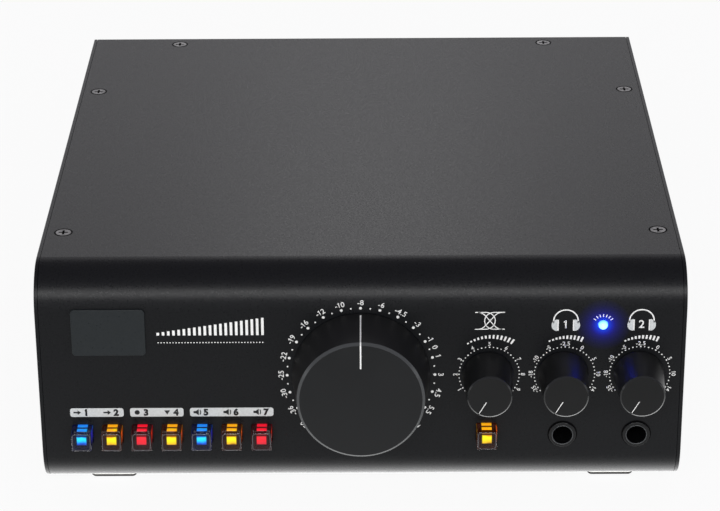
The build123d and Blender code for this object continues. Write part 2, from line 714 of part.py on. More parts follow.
def front_board():
    """Upright circuit board that carries the pots, switches and lamp."""
    span = (FRONT + BOARD_FRONT, FRONT + BOARD_FRONT + BOARD_THICKNESS)
    board = block(centred(98), span, (UNDERSIDE + 13, UNDERSIDE + 71))
    cutters = [rod(MAIN_POT_RADIUS + 0.5, span[0], span[1], 0, DIAL_LEVEL)]
    half = JACK_HALF + 0.5
    for x in JACK_X.values():
        cutters.append(block(centred(half, x), span, (UNDERSIDE, JACK_LEVEL + half)))
    return board - cutters


def main_board():
    """L-shaped circuit board: a front strip and a wing that runs to the sockets."""
    heights = (MAIN_BOARD_LEVEL, MAIN_BOARD_LEVEL + BOARD_THICKNESS)
    board = block(centred(96), (MAIN_BOARD_FRONT, FRONT + 74), heights)
    board += block((-96, 20), (FRONT + 74, FRONT + 180), heights)
    holes = [post(1.6, heights[0], heights[1], x, y) for x, y in STANDOFF_SPOTS]
    return board - holes


def board_standoffs():
    low, high = UNDERSIDE + WRAP_SHEET, MAIN_BOARD_LEVEL
    spacer = post(STANDOFF_RADIUS, low, high) - post(STANDOFF_BORE + EASE, low + 2, high)
    return [Pos(x, y, 0) * spacer for x, y in STANDOFF_SPOTS]


def board_screws():
    seat = MAIN_BOARD_LEVEL + BOARD_THICKNESS
    screw = post(2.6, seat, seat + 1.8) + post(STANDOFF_BORE, seat - 6, seat)
    slot = Box(3.4, 0.6, 1.4)
    screw -= Pos(0, 0, seat + 1.8) * slot
    return [Pos(x, y, 0) * screw for x, y in STANDOFF_SPOTS]


def mains_transformer():
    """Ring-core transformer under a clamp dish with its bolt."""
    low = UNDERSIDE + WRAP_SHEET
    height = low + TRANSFORMER_HEIGHT
    ring = turned_upright([
        (TRANSFORMER_HOLE, low + 4),
        (TRANSFORMER_HOLE + 4, low),
        (TRANSFORMER_RADIUS - 5, low),
        (TRANSFORMER_RADIUS, low + 5),
        (TRANSFORMER_RADIUS, height - 5),
        (TRANSFORMER_RADIUS - 5, height),
        (TRANSFORMER_HOLE + 4, height),
        (TRANSFORMER_HOLE, height - 4),
    ])
    clamp = turned_upright([
        (0, low),
        (3, low),
        (3, height + 0.1),
        (18, height + 0.1),
        (18, height + 1.6),
        (5, height + 1.6),
        (5, height + 5),
        (0, height + 5),
    ])
    return [Pos(TRANSFORMER_X, TRANSFORMER_Y, 0) * piece for piece in (ring, clamp)]


# -------------------------------------------------------------------- writing out
def all_parts():
    """Every node's name with its solid or list of solids."""
    right_wall = right_side_wall()
    parts = {
        "wrap_shell": wrap_stretches(),
        "side_wall_right": right_wall,
        "side_wall_left": mirror(right_wall, Plane.YZ),
        "rear_panel": rear_panel(),
        "top_screws": top_screws(),
        "underside_screws": underside_screws(),
        "rubber_feet": rubber_feet(),
        "foot_screws": foot_screws(),
        "badge_plate": badge_plate(),
        "front_board": front_board(),
        "main_board": main_board(),
        "board_standoffs": board_standoffs(),
        "board_screws": board_screws(),
        "mains_transformer": mains_transformer(),
        "main_knob": at_dial(0, main_knob()),
        "main_knob_pointer": at_dial(0, main_pointer_strip()),
        "main_pot_shaft": at_dial(0, flatted_shaft(SHAFT_RADIUS, MAIN_SHAFT_TAIL, 5.0, MAIN_SHAFT_END)),
        "main_pot_body": main_pot_body(),
        "small_pot_bodies": small_pot_bodies(),
        "pot_nuts": pot_nuts(),
        "button_switches": button_switches(),
        "power_led": power_led(),
        "input_sockets": input_sockets(),
        "input_inserts": input_inserts(),
        "output_sockets": output_sockets(),
        "output_pins": output_pins(),
        "socket_screws": socket_screws(),
        "mains_inlet": mains_inlet(),
        "inlet_blades": inlet_blades(),
        "fuse_drawer": fuse_drawer(),
        "power_rocker_frame": power_rocker_frame(),
        "power_rocker": power_rocker(),
    }
    small_shaft = flatted_shaft(SHAFT_RADIUS, SMALL_SHAFT_TAIL, 4.2, SMALL_SHAFT_END)
    for name, x in SMALL_DIAL_X.items():
        parts[f"{name}_knob"] = at_dial(x, small_knob(), SMALL_KNOB_REST)
        parts[f"{name}_shaft"] = at_dial(x, small_shaft, SMALL_KNOB_REST)
    for name, x in JACK_X.items():
        parts[name] = Pos(x, FRONT, JACK_LEVEL) * phones_jack()
    for number, x in enumerate(BUTTON_X, start=1):
        parts[f"button_cap_{number}"] = at_button(x, button_cap())
        parts[f"button_core_{number}"] = at_button(x, button_core())
    for number, (x, z) in enumerate(INPUT_SPOTS, start=1):
        parts[f"input_latch_{number}"] = Pos(x, SOCKET_FRONT, z) * input_latch()
    return parts


def write(parts):
    os.makedirs("parts", exist_ok=True)
    for name, shape in parts.items():
        solids = shape if isinstance(shape, list) else [shape]
        whole = Compound(children=[Compound(solid.solids()) for solid in solids])
        export_step(whole, f"parts/{name}.step")


write(all_parts())
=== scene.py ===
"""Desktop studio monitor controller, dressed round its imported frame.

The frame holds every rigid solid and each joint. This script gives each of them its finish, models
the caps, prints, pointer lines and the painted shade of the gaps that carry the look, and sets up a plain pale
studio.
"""

import logging
import math
from collections.abc import Callable, Iterator, Mapping, Sequence
from contextlib import contextmanager
from dataclasses import dataclass, field, replace
from enum import Enum

import bmesh
import bpy
from mathutils import Matrix, Vector

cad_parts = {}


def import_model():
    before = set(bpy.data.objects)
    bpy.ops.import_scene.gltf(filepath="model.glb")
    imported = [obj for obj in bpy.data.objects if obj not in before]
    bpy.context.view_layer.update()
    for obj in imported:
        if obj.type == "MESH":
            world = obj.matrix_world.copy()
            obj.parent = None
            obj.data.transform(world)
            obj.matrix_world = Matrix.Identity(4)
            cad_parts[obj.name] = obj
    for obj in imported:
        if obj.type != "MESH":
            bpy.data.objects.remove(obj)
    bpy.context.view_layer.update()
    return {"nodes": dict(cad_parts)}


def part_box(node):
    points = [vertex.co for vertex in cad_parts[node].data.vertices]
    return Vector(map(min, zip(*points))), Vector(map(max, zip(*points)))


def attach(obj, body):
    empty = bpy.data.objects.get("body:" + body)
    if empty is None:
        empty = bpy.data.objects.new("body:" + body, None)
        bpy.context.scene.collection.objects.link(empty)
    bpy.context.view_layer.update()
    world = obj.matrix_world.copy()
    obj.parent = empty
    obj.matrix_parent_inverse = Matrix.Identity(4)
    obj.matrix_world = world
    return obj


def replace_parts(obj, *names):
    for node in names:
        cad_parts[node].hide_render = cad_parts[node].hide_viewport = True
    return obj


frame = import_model()

log = logging.getLogger("monitor_controller")

MM = 0.001
PICTURE_WIDTH = 720
QUARTER_TURN = Matrix.Rotation(math.pi / 2, 4, "X")
MOST_OF_A_NOISE = 0.3, 0.7

Node = bpy.types.Node
Socket = bpy.types.NodeSocket
Material = bpy.types.Material
Object = bpy.types.Object
Stops = Sequence[tuple[float, str | float]]
Values = dict[str | int, object]
Pair = tuple[float, float]
Triple = tuple[float, float, float]


# Colours and nodes.

def linear(hex_colour: str) -> tuple[float, ...]:
    """Turns an sRGB hex colour into linear red, green, blue and an alpha of 1."""
    shares = (value / 255 for value in bytes.fromhex(hex_colour[1:]))
    return (*(share / 12.92 if share <= 0.04045 else ((share + 0.055) / 1.055) ** 2.4 for share in shares), 1.0)


def middle_of(node: str) -> Vector:
    """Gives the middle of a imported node's box, in metres."""
    low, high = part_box(node)
    return (low + high) / 2


def before(node: str, proud: float, carrier: str = "") -> Vector:
    """Gives a node's middle, moved to a distance in millimetres before its own or its carrier's front.

    Args:
        node: the node whose middle is wanted.
        proud: the distance before the front, in millimetres.
        carrier: the node whose front counts, or nothing for the node's own.

    Returns:
        The place, in metres.
    """
    place = middle_of(node)
    place.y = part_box(carrier or node)[0][1] - proud * MM
    return place


class Graph:
    """The node tree of a material or a world while it is wired."""

    def __init__(self, tree: bpy.types.ShaderNodeTree) -> None:
        """Takes a tree and empties it."""
        self.tree = tree
        tree.nodes.clear()

    def feed(self, node: Node, values: Values) -> Node:
        """Sets properties and inputs of a node.

        Args:
            node: the node.
            values: a property or an input, and its value or the output that feeds it.

        Returns:
            The node.
        """
        for key, value in values.items():
            if isinstance(value, Socket):
                self.tree.links.new(value, node.inputs[key])
            elif isinstance(key, str) and key in node.bl_rna.properties:
                setattr(node, key, value)
            else:
                node.inputs[key].default_value = value
        return node

    def add(self, kind: str, values: Values | None = None) -> Node:
        """Adds a node of a kind, such as Bump, with its values."""
        return self.feed(self.tree.nodes.new(f"ShaderNode{kind}"), values or {})

    def place(self) -> Socket:
        """Gives the object's own coordinates, in metres."""
        return self.add("TexCoord").outputs["Object"]

    def axis(self, vector: Socket, name: str) -> Socket:
        """Gives one axis of a vector."""
        return self.add("SeparateXYZ", {0: vector}).outputs[name]

    def normal(self, name: str) -> Socket:
        """Gives one axis of the surface's normal on its own object."""
        return self.axis(self.add("TexCoord").outputs["Normal"], name)

    def math(self, operation: str, first: Socket, second: Socket | float = 0.5) -> Socket:
        """Joins two numbers."""
        return self.add("Math", {"operation": operation, 0: first, 1: second}).outputs[0]

    def mix(self, factor: Socket, first: Socket | float, second: Socket | float) -> Socket:
        """Mixes two numbers."""
        return self.add("Mix", {0: factor, 2: first, 3: second}).outputs[0]

    def blend(self, factor: Socket, *colours: Socket | str) -> Socket:
        """Mixes two colours, each of them a hex colour or an output."""
        first, second = (linear(colour) if isinstance(colour, str) else colour for colour in colours)
        return self.add("Mix", {"data_type": "RGBA", 0: factor, 6: first, 7: second}).outputs[2]

    def span(self, value: Socket, low: float, high: float, start: float = 0.0, end: float = 1.0,
             easing: str = "LINEAR") -> Socket:
        """Maps a value between low and high onto start to end, clipped."""
        return self.add("MapRange", {"interpolation_type": easing, "Value": value, "From Min": low,
                                     "From Max": high, "To Min": start, "To Max": end}).outputs[0]

    def noise(self, size: float, detail: float = 2.0) -> Socket:
        """Gives a noise whose features are size millimetres apart."""
        return self.add("TexNoise", {"Vector": self.place(), "Scale": 1 / (size * MM), "Detail": detail}).outputs[0]

    def spread(self, noise: Socket, start: float, end: float) -> Socket:
        """Maps the part of its range that a noise mostly keeps to onto another range."""
        return self.span(noise, *MOST_OF_A_NOISE, start, end)

    def bump(self, height: Socket, depth: float, under: Socket | None = None) -> Socket:
        """Turns a height into a normal, depth millimetres deep, over that of a coarser relief."""
        coarse = {"Normal": under} if under else {}
        return self.add("Bump", {"Height": height, "Strength": 1.0, "Distance": depth * MM} | coarse).outputs[0]

    def ramp(self, factor: Socket, stops: Stops) -> Socket:
        """Turns a factor into the colours or strengths that stand along it.

        Args:
            factor: the factor, from 0 to 1.
            stops: each place on the way from 0 to 1, and its hex colour or its strength.

        Returns:
            The colour.
        """
        node = self.add("ValToRGB", {0: factor})
        marks = node.color_ramp.elements
        for index, (place, look) in enumerate(stops):
            mark = marks[index] if index < 2 else marks.new(place)
            mark.position, mark.color = place, linear(look) if isinstance(look, str) else (look, look, look, 1)
        return node.outputs[0]

    def facing(self, low: float, high: float) -> Socket:
        """Says how much a surface faces forwards or backwards: 0 at low and 1 at high of its normal's Y."""
        return self.span(self.math("ABSOLUTE", self.normal("Y")), low, high)

    def away(self, middle: Vector, reach: float) -> Socket:
        """Gives how far along the front a point lies from a place.

        Args:
            middle: the place, in metres.
            reach: the distance that counts as 1, in millimetres.

        Returns:
            The share of the reach, from 0 to 1.
        """
        front = Vector((1, 0, 1))
        flat = self.add("VectorMath", {"operation": "MULTIPLY", 0: self.place(), 1: front}).outputs[0]
        gap = self.add("VectorMath", {"operation": "DISTANCE", 0: flat, 1: middle * front}).outputs["Value"]
        return self.span(gap, 0.0, reach * MM)


def new_material(name: str) -> tuple[Material, Graph]:
    """Makes an empty material and returns it with its graph.

    Args:
        name: the material's name.

    Returns:
        The material and its graph.
    """
    made = bpy.data.materials.new(name)
    made.use_nodes = True
    return made, Graph(made.node_tree)


# Finishes. Pitches, depths and lengths are in millimetres.

@dataclass(frozen=True)
class Finish:
    """A surface finish: one material, made once and shared."""

    name: str
    colour: str
    roughness: float
    specular: float = 0.5
    ior: float = 1.5
    wear: Pair = (0.05, 0.05)  # how much less and more rough it is in places

    def material(self) -> Material:
        """Returns the material, and makes it the first time.

        Returns:
            The material.
        """
        made = bpy.data.materials.get(self.name)
        if made is None:
            made, graph = new_material(self.name)
            made.diffuse_color = linear(self.colour)
            shader = graph.add("BsdfPrincipled", self.plain())
            graph.feed(shader, self.looks(graph))
            graph.add("OutputMaterial", {"Surface": shader.outputs["BSDF"]} | self.inside(graph))
        return made

    def plain(self) -> Values:
        """Gives the shader's plain values."""
        return {"Base Color": linear(self.colour), "Roughness": self.roughness,
                "Specular IOR Level": self.specular, "IOR": self.ior}

    def looks(self, graph: Graph) -> Values:
        """Wires what the shader gets beyond its plain values, and gives it."""
        return {}

    def inside(self, graph: Graph) -> Values:
        """Gives what fills the piece: nothing that shows."""
        return {}

    def mottled(self, graph: Graph, noise: Socket, other: str, most: float = 1.0) -> Socket:
        """Blends the finish's colour with another one by a noise, up to a share of it."""
        return graph.blend(graph.spread(noise, 0, most), self.colour, other)

    def worn(self, graph: Graph, noise: Socket) -> Socket:
        """Gives the roughness, less and more by a noise."""
        return graph.spread(noise, self.roughness - self.wear[0], self.roughness + self.wear[1])


@dataclass(frozen=True)
class PowderCoat(Finish):
    """Powder coat baked on steel: a fine even grain on a faint orange peel.

    Real grains are about 0.1 mm apart, too fine to show, so they are drawn as coarse as the eye needs.
    """

    grain: float = 0.55
    peel: float = 3.2
    relief: float = 0.012
    peel_relief: float = 0.005
    fleck: str = "#202124"  # on the grain's tops
    wear: Pair = (0.07, 0.07)

    def looks(self, graph: Graph) -> Values:
        """Lays the grain over the peel.

        Args:
            graph: the material's graph.

        Returns:
            The shader's wired values.
        """
        grain = graph.noise(self.grain, 3.0)
        peel = graph.bump(graph.noise(self.peel), self.peel_relief)
        return {"Base Color": self.mottled(graph, grain, self.fleck),
                "Roughness": self.worn(graph, grain),
                "Normal": graph.bump(grain, self.relief, peel)}


@dataclass(frozen=True)
class LampLitCoat(PowderCoat):
    """Powder coat with the pool of light that the power lamp throws on the panel round itself."""

    lamp: str = "power_led"
    reach: float = 9.0
    # from the lamp's middle to the reach
    pool: Stops = ((0.0, "#0a40d8"), (0.24, "#0632c8"), (0.34, "#0c18a0"), (0.43, "#0a0a74"), (0.52, "#08085c"),
                   (0.64, "#040444"), (0.78, "#02022c"), (1.0, "#000000"))

    def looks(self, graph: Graph) -> Values:
        """Adds the pool to the coat."""
        pool = graph.ramp(graph.away(middle_of(self.lamp), self.reach), self.pool)
        return super().looks(graph) | {"Emission Color": pool, "Emission Strength": 1.0}


@dataclass(frozen=True)
class MouldedPlastic(Finish):
    """Moulded plastic from a spark-eroded tool: a soft satin skin with a slow change in gloss."""

    grain: float = 0.3  # drawn coarser than the real 0.05 mm
    relief: float = 0.006
    patch: float = 9.0  # between the glossier patches

    def looks(self, graph: Graph) -> Values:
        """Gives the skin its gloss and its eroded texture."""
        return {"Roughness": self.worn(graph, graph.noise(self.patch, 3.0)),
                "Normal": graph.bump(graph.noise(self.grain), self.relief)}


@dataclass(frozen=True)
class KnobPlastic(MouldedPlastic):
    """A knob's moulded plastic: a satin face, dull eroded sides, and a polished bevel between them."""

    side: str = "#040506"
    dull: float = 0.58  # roughness of the sides
    polish: float = 0.16  # roughness of the bevel
    bevel: str = "#b4b8ba"
    gleam: float = 0.12  # how much of a mirror the bevel is
    side_ends: Pair = (0.35, 0.45)  # the normal's Y where the sides give way to the bevel
    face_starts: Pair = (0.90, 0.96)

    def looks(self, graph: Graph) -> Values:
        """Tells face, bevel and sides apart by where they face.

        Args:
            graph: the material's graph.

        Returns:
            The shader's wired values.
        """
        looks = super().looks(graph)
        side, face = graph.facing(*self.side_ends), graph.facing(*self.face_starts)
        edge = graph.math("SUBTRACT", side, face)
        mirror = graph.math("MULTIPLY", edge, self.gleam)
        return looks | {
            "Base Color": graph.blend(mirror, graph.blend(side, self.side, self.colour), self.bevel),
            "Metallic": mirror,
            "Roughness": graph.mix(edge, graph.mix(side, self.dull, looks["Roughness"]), self.polish),
        }


@dataclass(frozen=True)
class PlatedMetal(Finish):
    """Plated or machined metal: bright, with faint tool lines and handled, duller patches."""

    line: float = 0.18
    relief: float = 0.002
    dull: str = "#8f8d88"
    wear: Pair = (0.06, 0.10)

    def looks(self, graph: Graph) -> Values:
        """Lays the patches over the tool lines.

        Args:
            graph: the material's graph.

        Returns:
            The shader's wired values.
        """
        patches = graph.noise(2.2, 4.0)
        return {"Metallic": 1.0,
                "Base Color": self.mottled(graph, patches, self.dull),
                "Roughness": self.worn(graph, patches),
                "Normal": graph.bump(graph.noise(self.line, 1.0), self.relief)}


@dataclass(frozen=True)
class Rubber(Finish):
    """Moulded rubber: dead matt, slightly dusty in its hollows."""

    dust: str = "#3a3a3b"

    def looks(self, graph: Graph) -> Values:
        """Dusts the hollows."""
        fine = graph.noise(0.5, 4.0)
        return {"Base Color": self.mottled(graph, fine, self.dust, 0.6), "Normal": graph.bump(fine, 0.02)}


@dataclass(frozen=True)
class SoledRubber(Rubber):
    """A pale rubber foot, darkened at its bottom by a painted contact shadow and kept bright by a painted glow."""

    # a dark band up the foot's bottom: painted contact shadow where it meets the floor
    sole: str = "#1f1e1c"
    sole_height: float = 1.05
    glow: float = 0.5  # strength of the painted glow that keeps the pale rubber bright in shade

    def looks(self, graph: Graph) -> Values:
        """Paints a contact shadow on the rubber below its height, and a glow over all of it.

        Args:
            graph: the material's graph.

        Returns:
            The shader's wired values.
        """
        looks = super().looks(graph)
        # the dark band is painted contact shadow, and the emission is painted glow
        above = graph.math("GREATER_THAN", graph.axis(graph.place(), "Z"), self.sole_height * MM)
        skin = graph.blend(above, self.sole, looks["Base Color"])
        return looks | {"Base Color": skin, "Emission Color": skin, "Emission Strength": self.glow}


@dataclass(frozen=True)
class PrintedInk(Finish):
    """Screen-printed ink: flat and matt, with the paint's grain just showing through."""

    thin: str = "#c9c9c7"  # where the ink lies thinner

    def looks(self, graph: Graph) -> Values:
        """Thins the ink on the grain."""
        grain = graph.noise(0.5, 3.0)
        return {"Base Color": self.mottled(graph, grain, self.thin), "Normal": graph.bump(grain, 0.01)}


@dataclass(frozen=True)
class SmokedAcrylic(Finish):
    """Smoked moulded acrylic: polished and dark through its depth, with a painted glow for the light of its core.
    """

    # colour of the painted glow that stands for the core's light scattered in the cap
    tint: str = "#000000"
    smoke: float = 820.0  # how strongly it darkens what is seen through it, per metre

    def inside(self, graph: Graph) -> Values:
        """Gives the smoke that fills the piece."""
        smoke = graph.add("VolumeAbsorption", {"Color": linear("#202020"), "Density": self.smoke})
        return {"Volume": smoke.outputs[0]}

    def looks(self, graph: Graph) -> Values:
        """Clears the skin, with a cloudy painted glow.

        Args:
            graph: the material's graph.

        Returns:
            The shader's wired values.
        """
        cloud = graph.spread(graph.noise(3.0, 1.0), 0.4, 1)
        return {"Transmission Weight": 1.0, "Emission Strength": 1.0,
                "Emission Color": graph.blend(cloud, "#000000", self.tint),
                "Normal": graph.bump(graph.noise(4.0, 1.0), 0.003)}


@dataclass(frozen=True)
class LitCore(Finish):
    """Tinted polycarbonate lit from behind: full at its front, faint at its sides, in bands on its top."""

    stops: Stops = ()  # the light's colours, from the bottom to the top
    strength: float = 1.0
    spot: float = 1.6  # pitch of its cloudiness
    cloud: float = 0.07  # how far a cloud shifts the stops
    front_starts: Pair = (0.5, 0.8)  # the normal's Y
    height: float = 3.0
    side: float = 0.03  # how bright its sides are, where its front is 1
    # how bright its top is, from its front to its tail
    top: Stops = ((0.0, 0.02), (0.2, 0.02), (0.25, 1.7), (0.5, 1.5), (0.55, 0.02), (0.66, 0.02), (0.7, 1.5),
                  (1.0, 1.0))
    reach: float = 6.2  # from its front to its tail

    def plain(self) -> Values:
        """Adds the light's strength to the plain values."""
        return super().plain() | {"Emission Strength": self.strength}

    def hue(self, graph: Graph) -> Socket:
        """Gives the light's colour, which changes with the height and is a little cloudy.

        Args:
            graph: the material's graph.

        Returns:
            The colour.
        """
        level, half = middle_of("button_core_1").z, self.height / 2 * MM
        share = graph.span(graph.axis(graph.place(), "Z"), level - half, level + half)
        cloud = graph.spread(graph.noise(self.spot, 1.0), -self.cloud, self.cloud)
        return graph.ramp(graph.math("ADD", share, cloud), self.stops)

    def bands(self, graph: Graph) -> Socket:
        """Gives the light's strength, told by where the surface faces and how far back it lies.

        Args:
            graph: the material's graph.

        Returns:
            The strength.
        """
        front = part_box("button_core_1")[0].y
        share = graph.span(graph.axis(graph.place(), "Y"), front, front + self.reach * MM)
        top = graph.mix(graph.normal("Z"), self.side, graph.ramp(share, self.top))
        return graph.math("MULTIPLY", graph.mix(graph.facing(*self.front_starts), top, 1.0), self.strength)

    def looks(self, graph: Graph) -> Values:
        """Lights it."""
        return {"Emission Color": self.hue(graph), "Emission Strength": self.bands(graph)}


@dataclass(frozen=True)
class LampLens(Finish):
    """Blue epoxy with the die glowing behind it, its blue deepening towards its rim."""

    lamp: str = "power_led"
    radius: float = 1.7
    stops: Stops = ((0.0, "#2f44ff"), (0.7, "#263cff"), (0.9, "#142aff"), (1.0, "#0c20ff"))
    strength: float = 30.0

    def looks(self, graph: Graph) -> Values:
        """Lights it."""
        light = graph.ramp(graph.away(middle_of(self.lamp), self.radius), self.stops)
        return {"Emission Strength": self.strength, "Emission Color": light}


@dataclass(frozen=True)
class GlassEpoxy(Finish):
    """Glass-epoxy board under solder mask: a woven ground with a satin skin."""

    weave: float = 0.6
    thread: str = "#1c5a38"

    def looks(self, graph: Graph) -> Values:
        """Lets the woven cloth show.

        Args:
            graph: the material's graph.

        Returns:
            The shader's wired values.
        """
        cloth = graph.add("TexChecker", {"Vector": graph.place(), "Scale": 1 / (self.weave * MM)}).outputs["Fac"]
        return {"Base Color": graph.blend(cloth, self.colour, self.thread),
                "Normal": graph.bump(graph.noise(0.4), 0.004)}


# Knobs of moulded ABS: a satin face, dull near-black sides and a polished bevel.
KNOB_PLASTIC = KnobPlastic("satin_abs", "#0d0f11", 0.38, specular=0.52)
# The small knobs: the same ABS with a blacker face.
SMALL_KNOB_PLASTIC = replace(KNOB_PLASTIC, name="satin_abs_bright_edge", colour="#050607", gleam=0.03, dull=0.52)
# Headphone jacks of black polyamide, and the polished lip round the mouth.
JACK_PLASTIC = MouldedPlastic("jack_polyamide", "#0f1011", 0.22, specular=0.45)
JACK_LIP = replace(JACK_PLASTIC, name="polished_jack_lip", colour="#303335", roughness=0.12, specular=1.0)
# Painted shade: near-black sheets in the shadowed gap and the recess of a countersunk screw.
SCREW_SHADOW = Rubber("painted_gap_shade", "#060606", 0.9, specular=0.1, dust="#0a0a0b")
# The pointer lines' white paint.
POINTER_WHITE = PrintedInk("pointer_paint", "#f2f2f0", 0.5, thin="#dededc")
# Screen inks: white for scales and pictograms, light grey for label plates, dark for the figures on them.
WHITE_INK = PrintedInk("white_screen_ink", "#ececea", 0.55, specular=0.3, thin="#dededc")
LABEL_INK = PrintedInk("grey_screen_ink", "#c9cccc", 0.5, specular=0.3, thin="#bcbfbf")
DARK_INK = PrintedInk("dark_screen_ink", "#1b1c1e", 0.5, specular=0.3, thin="#242527")
# Smoked acrylic button caps: dark blocks that show their core, with a painted glow of its colour in them.
CAP_CLEAR = SmokedAcrylic("smoked_acrylic", "#ffffff", 0.03, specular=0.25, ior=1.49)
# The cap's front edge: a thin grey outline, a painted highlight for the light on its rounded edge.
PAINTED_CAP_EDGE_HIGHLIGHT = MouldedPlastic("painted_cap_edge_highlight", "#4c4c50", 0.45, grain=0.2)

SLOT_FINISHES: dict[str, Finish] = {
    # Powder coat on folded steel: near black, with a satin grain that catches the light on the bends.
    "housing_paint": LampLitCoat("powder_coated_steel", "#101113", 0.32, specular=0.26, fleck="#151618"),
    # The same coat on the back plate, a little flatter.
    "rear_paint": PowderCoat("powder_coated_back_plate", "#18191a", 0.45, specular=0.2, fleck="#1e1f20"),
    # Black zinc-plated steel screws, a little brighter than the paint.
    "screw_steel": PlatedMetal("black_zinc_plated_steel", "#8f8e8e", 0.30, dull="#6e6d6d"),
    # Moulded feet of pale silicone rubber, with a painted contact shadow at the bottom and a painted glow.
    "foot_rubber": SoledRubber("moulded_silicone_rubber", "#efeeea", 0.6, specular=0.4, dust="#e4e2dd"),
    # Enamelled plate: smoother and a touch lighter than the housing round it.
    "badge_enamel": PowderCoat("baked_enamel_plate", "#202426", 0.34, specular=0.3, grain=0.8, relief=0.004,
                               fleck="#24282a"),
    # Glass-epoxy boards under green solder mask.
    "circuit_board": GlassEpoxy("glass_epoxy_board", "#164a2d", 0.38),
    # Nickel-plated brass: pins, nuts, spacers and blades.
    "nickel_brass": PlatedMetal("nickel_plated_brass", "#c8c2b2", 0.22, dull="#a39d8e"),
    # The transformer's outer winding of polyester tape.
    "transformer_wrap": MouldedPlastic("polyester_tape", "#c89a2c", 0.32, grain=1.1, relief=0.03),
    # Bare turned brass shafts.
    "shaft_brass": PlatedMetal("turned_brass", "#c7a45a", 0.25, dull="#94783f"),
    # Pressed and zinc-plated potentiometer cans.
    "pot_steel": PlatedMetal("pressed_zinc_steel", "#a5a6a4", 0.38),
    # Switch bodies of black nylon.
    "switch_plastic": MouldedPlastic("black_nylon", "#151516", 0.5),
    # The lamp's blue epoxy lens.
    "lamp_blue": LampLens("lit_blue_epoxy", "#1030ff", 0.2),
    # Nickel-plated die-cast socket flanges, satin.
    "socket_nickel": PlatedMetal("satin_nickel_casting", "#989896", 0.34, dull="#8d8d8b", line=0.35, relief=0.004),
    # Socket inserts of black glass-filled nylon.
    "insert_plastic": MouldedPlastic("glass_filled_nylon", "#131314", 0.55),
    # The mains inlet's body of glossy black polyamide.
    "inlet_plastic": MouldedPlastic("glossy_polyamide", "#101011", 0.28, grain=0.6, relief=0.003),
    # The rocker of glossy black polycarbonate.
    "rocker_plastic": MouldedPlastic("glossy_polycarbonate", "#0e0e0f", 0.2, grain=0.6, relief=0.002),
    # Spring-steel latch tabs.
    "latch_steel": PlatedMetal("spring_steel", "#aeadaa", 0.26),
    # Lit cores of tinted polycarbonate: deep at the foot, almost yellow or cyan higher up.
    "core_blue": LitCore("lit_blue_polycarbonate", "#0a3ad0", 0.4, strength=4.8, stops=(
        (0.0, "#0a3090"), (0.22, "#0b58d8"), (0.42, "#16a8ff"), (0.58, "#1ad8f8"), (0.88, "#2ce2fa"),
        (0.97, "#1c86f8"))),
    "core_amber": LitCore("lit_amber_polycarbonate", "#c86a00", 0.4, strength=4.8, stops=(
        (0.0, "#7a4c00"), (0.16, "#e8b820"), (0.42, "#f8dc10"), (0.6, "#f8f208"), (0.88, "#f8ee10"),
        (0.97, "#ffac10"))),
    "core_red": LitCore("lit_red_polycarbonate", "#a00014", 0.4, strength=4.8, stops=(
        (0.0, "#8a141c"), (0.2, "#d42438"), (0.45, "#f2182a"), (0.6, "#f82432"), (0.88, "#f42a38"),
        (0.97, "#f4102c"))),
    "knob_plastic": KNOB_PLASTIC,
    "jack_plastic": JACK_PLASTIC,
    "pointer_white": POINTER_WHITE,
    "cap_clear": CAP_CLEAR,
}
SMALL_KNOBS = "crossfeed_knob", "phones_1_knob", "phones_2_knob"
NODE_FINISHES: dict[str, Finish] = dict.fromkeys(SMALL_KNOBS, SMALL_KNOB_PLASTIC)


class Light(Enum):
    """The colours that a button lights up in: the painted glow in its cap, and the light along the cap's wall."""

    BLUE = ("#0e1034", "#2a22b8")
    AMBER = ("#301006", "#e05a0c")
    RED = ("#2c080c", "#d0300e")

    def cap(self) -> Finish:
        """Gives the cap's finish."""
        return replace(CAP_CLEAR, name=f"smoked_acrylic_{self.name.lower()}_lit", tint=self.value[0])

    def wall(self) -> Finish:
        """Gives the finish of the lit wall at the cap's right.

        Returns:
            The finish.
        """
        glow = self.value[1]
        return LitCore(f"lit_wall_{self.name.lower()}", glow, 0.4, strength=1.3, side=0.5,
                       stops=((0.0, "#000000"), (1.0, glow)), top=((0.0, 1.0), (1.0, 1.0)))


# The studio.

@dataclass(frozen=True)
class SoftLamp:
    """One soft lamp that faces the object."""

    name: str
    place: Triple
    size: Pair
    radiance: float  # where the floor is about 1
    mirrored: bool = True  # shows in glossy surfaces
    aim: Triple = (0, 0, 0.04)

    def build(self) -> None:
        """Adds the lamp."""
        aim = Vector(self.aim) - Vector(self.place)
        bpy.ops.object.light_add(type="AREA", location=self.place, rotation=aim.to_track_quat("-Z", "Y").to_euler())
        lamp = bpy.context.object
        lamp.name = self.name
        lamp.data.shape = "RECTANGLE"
        lamp.data.size, lamp.data.size_y = self.size
        lamp.data.energy = self.radiance * math.pi * self.size[0] * self.size[1]
        lamp.visible_camera = False
        lamp.visible_glossy = self.mirrored


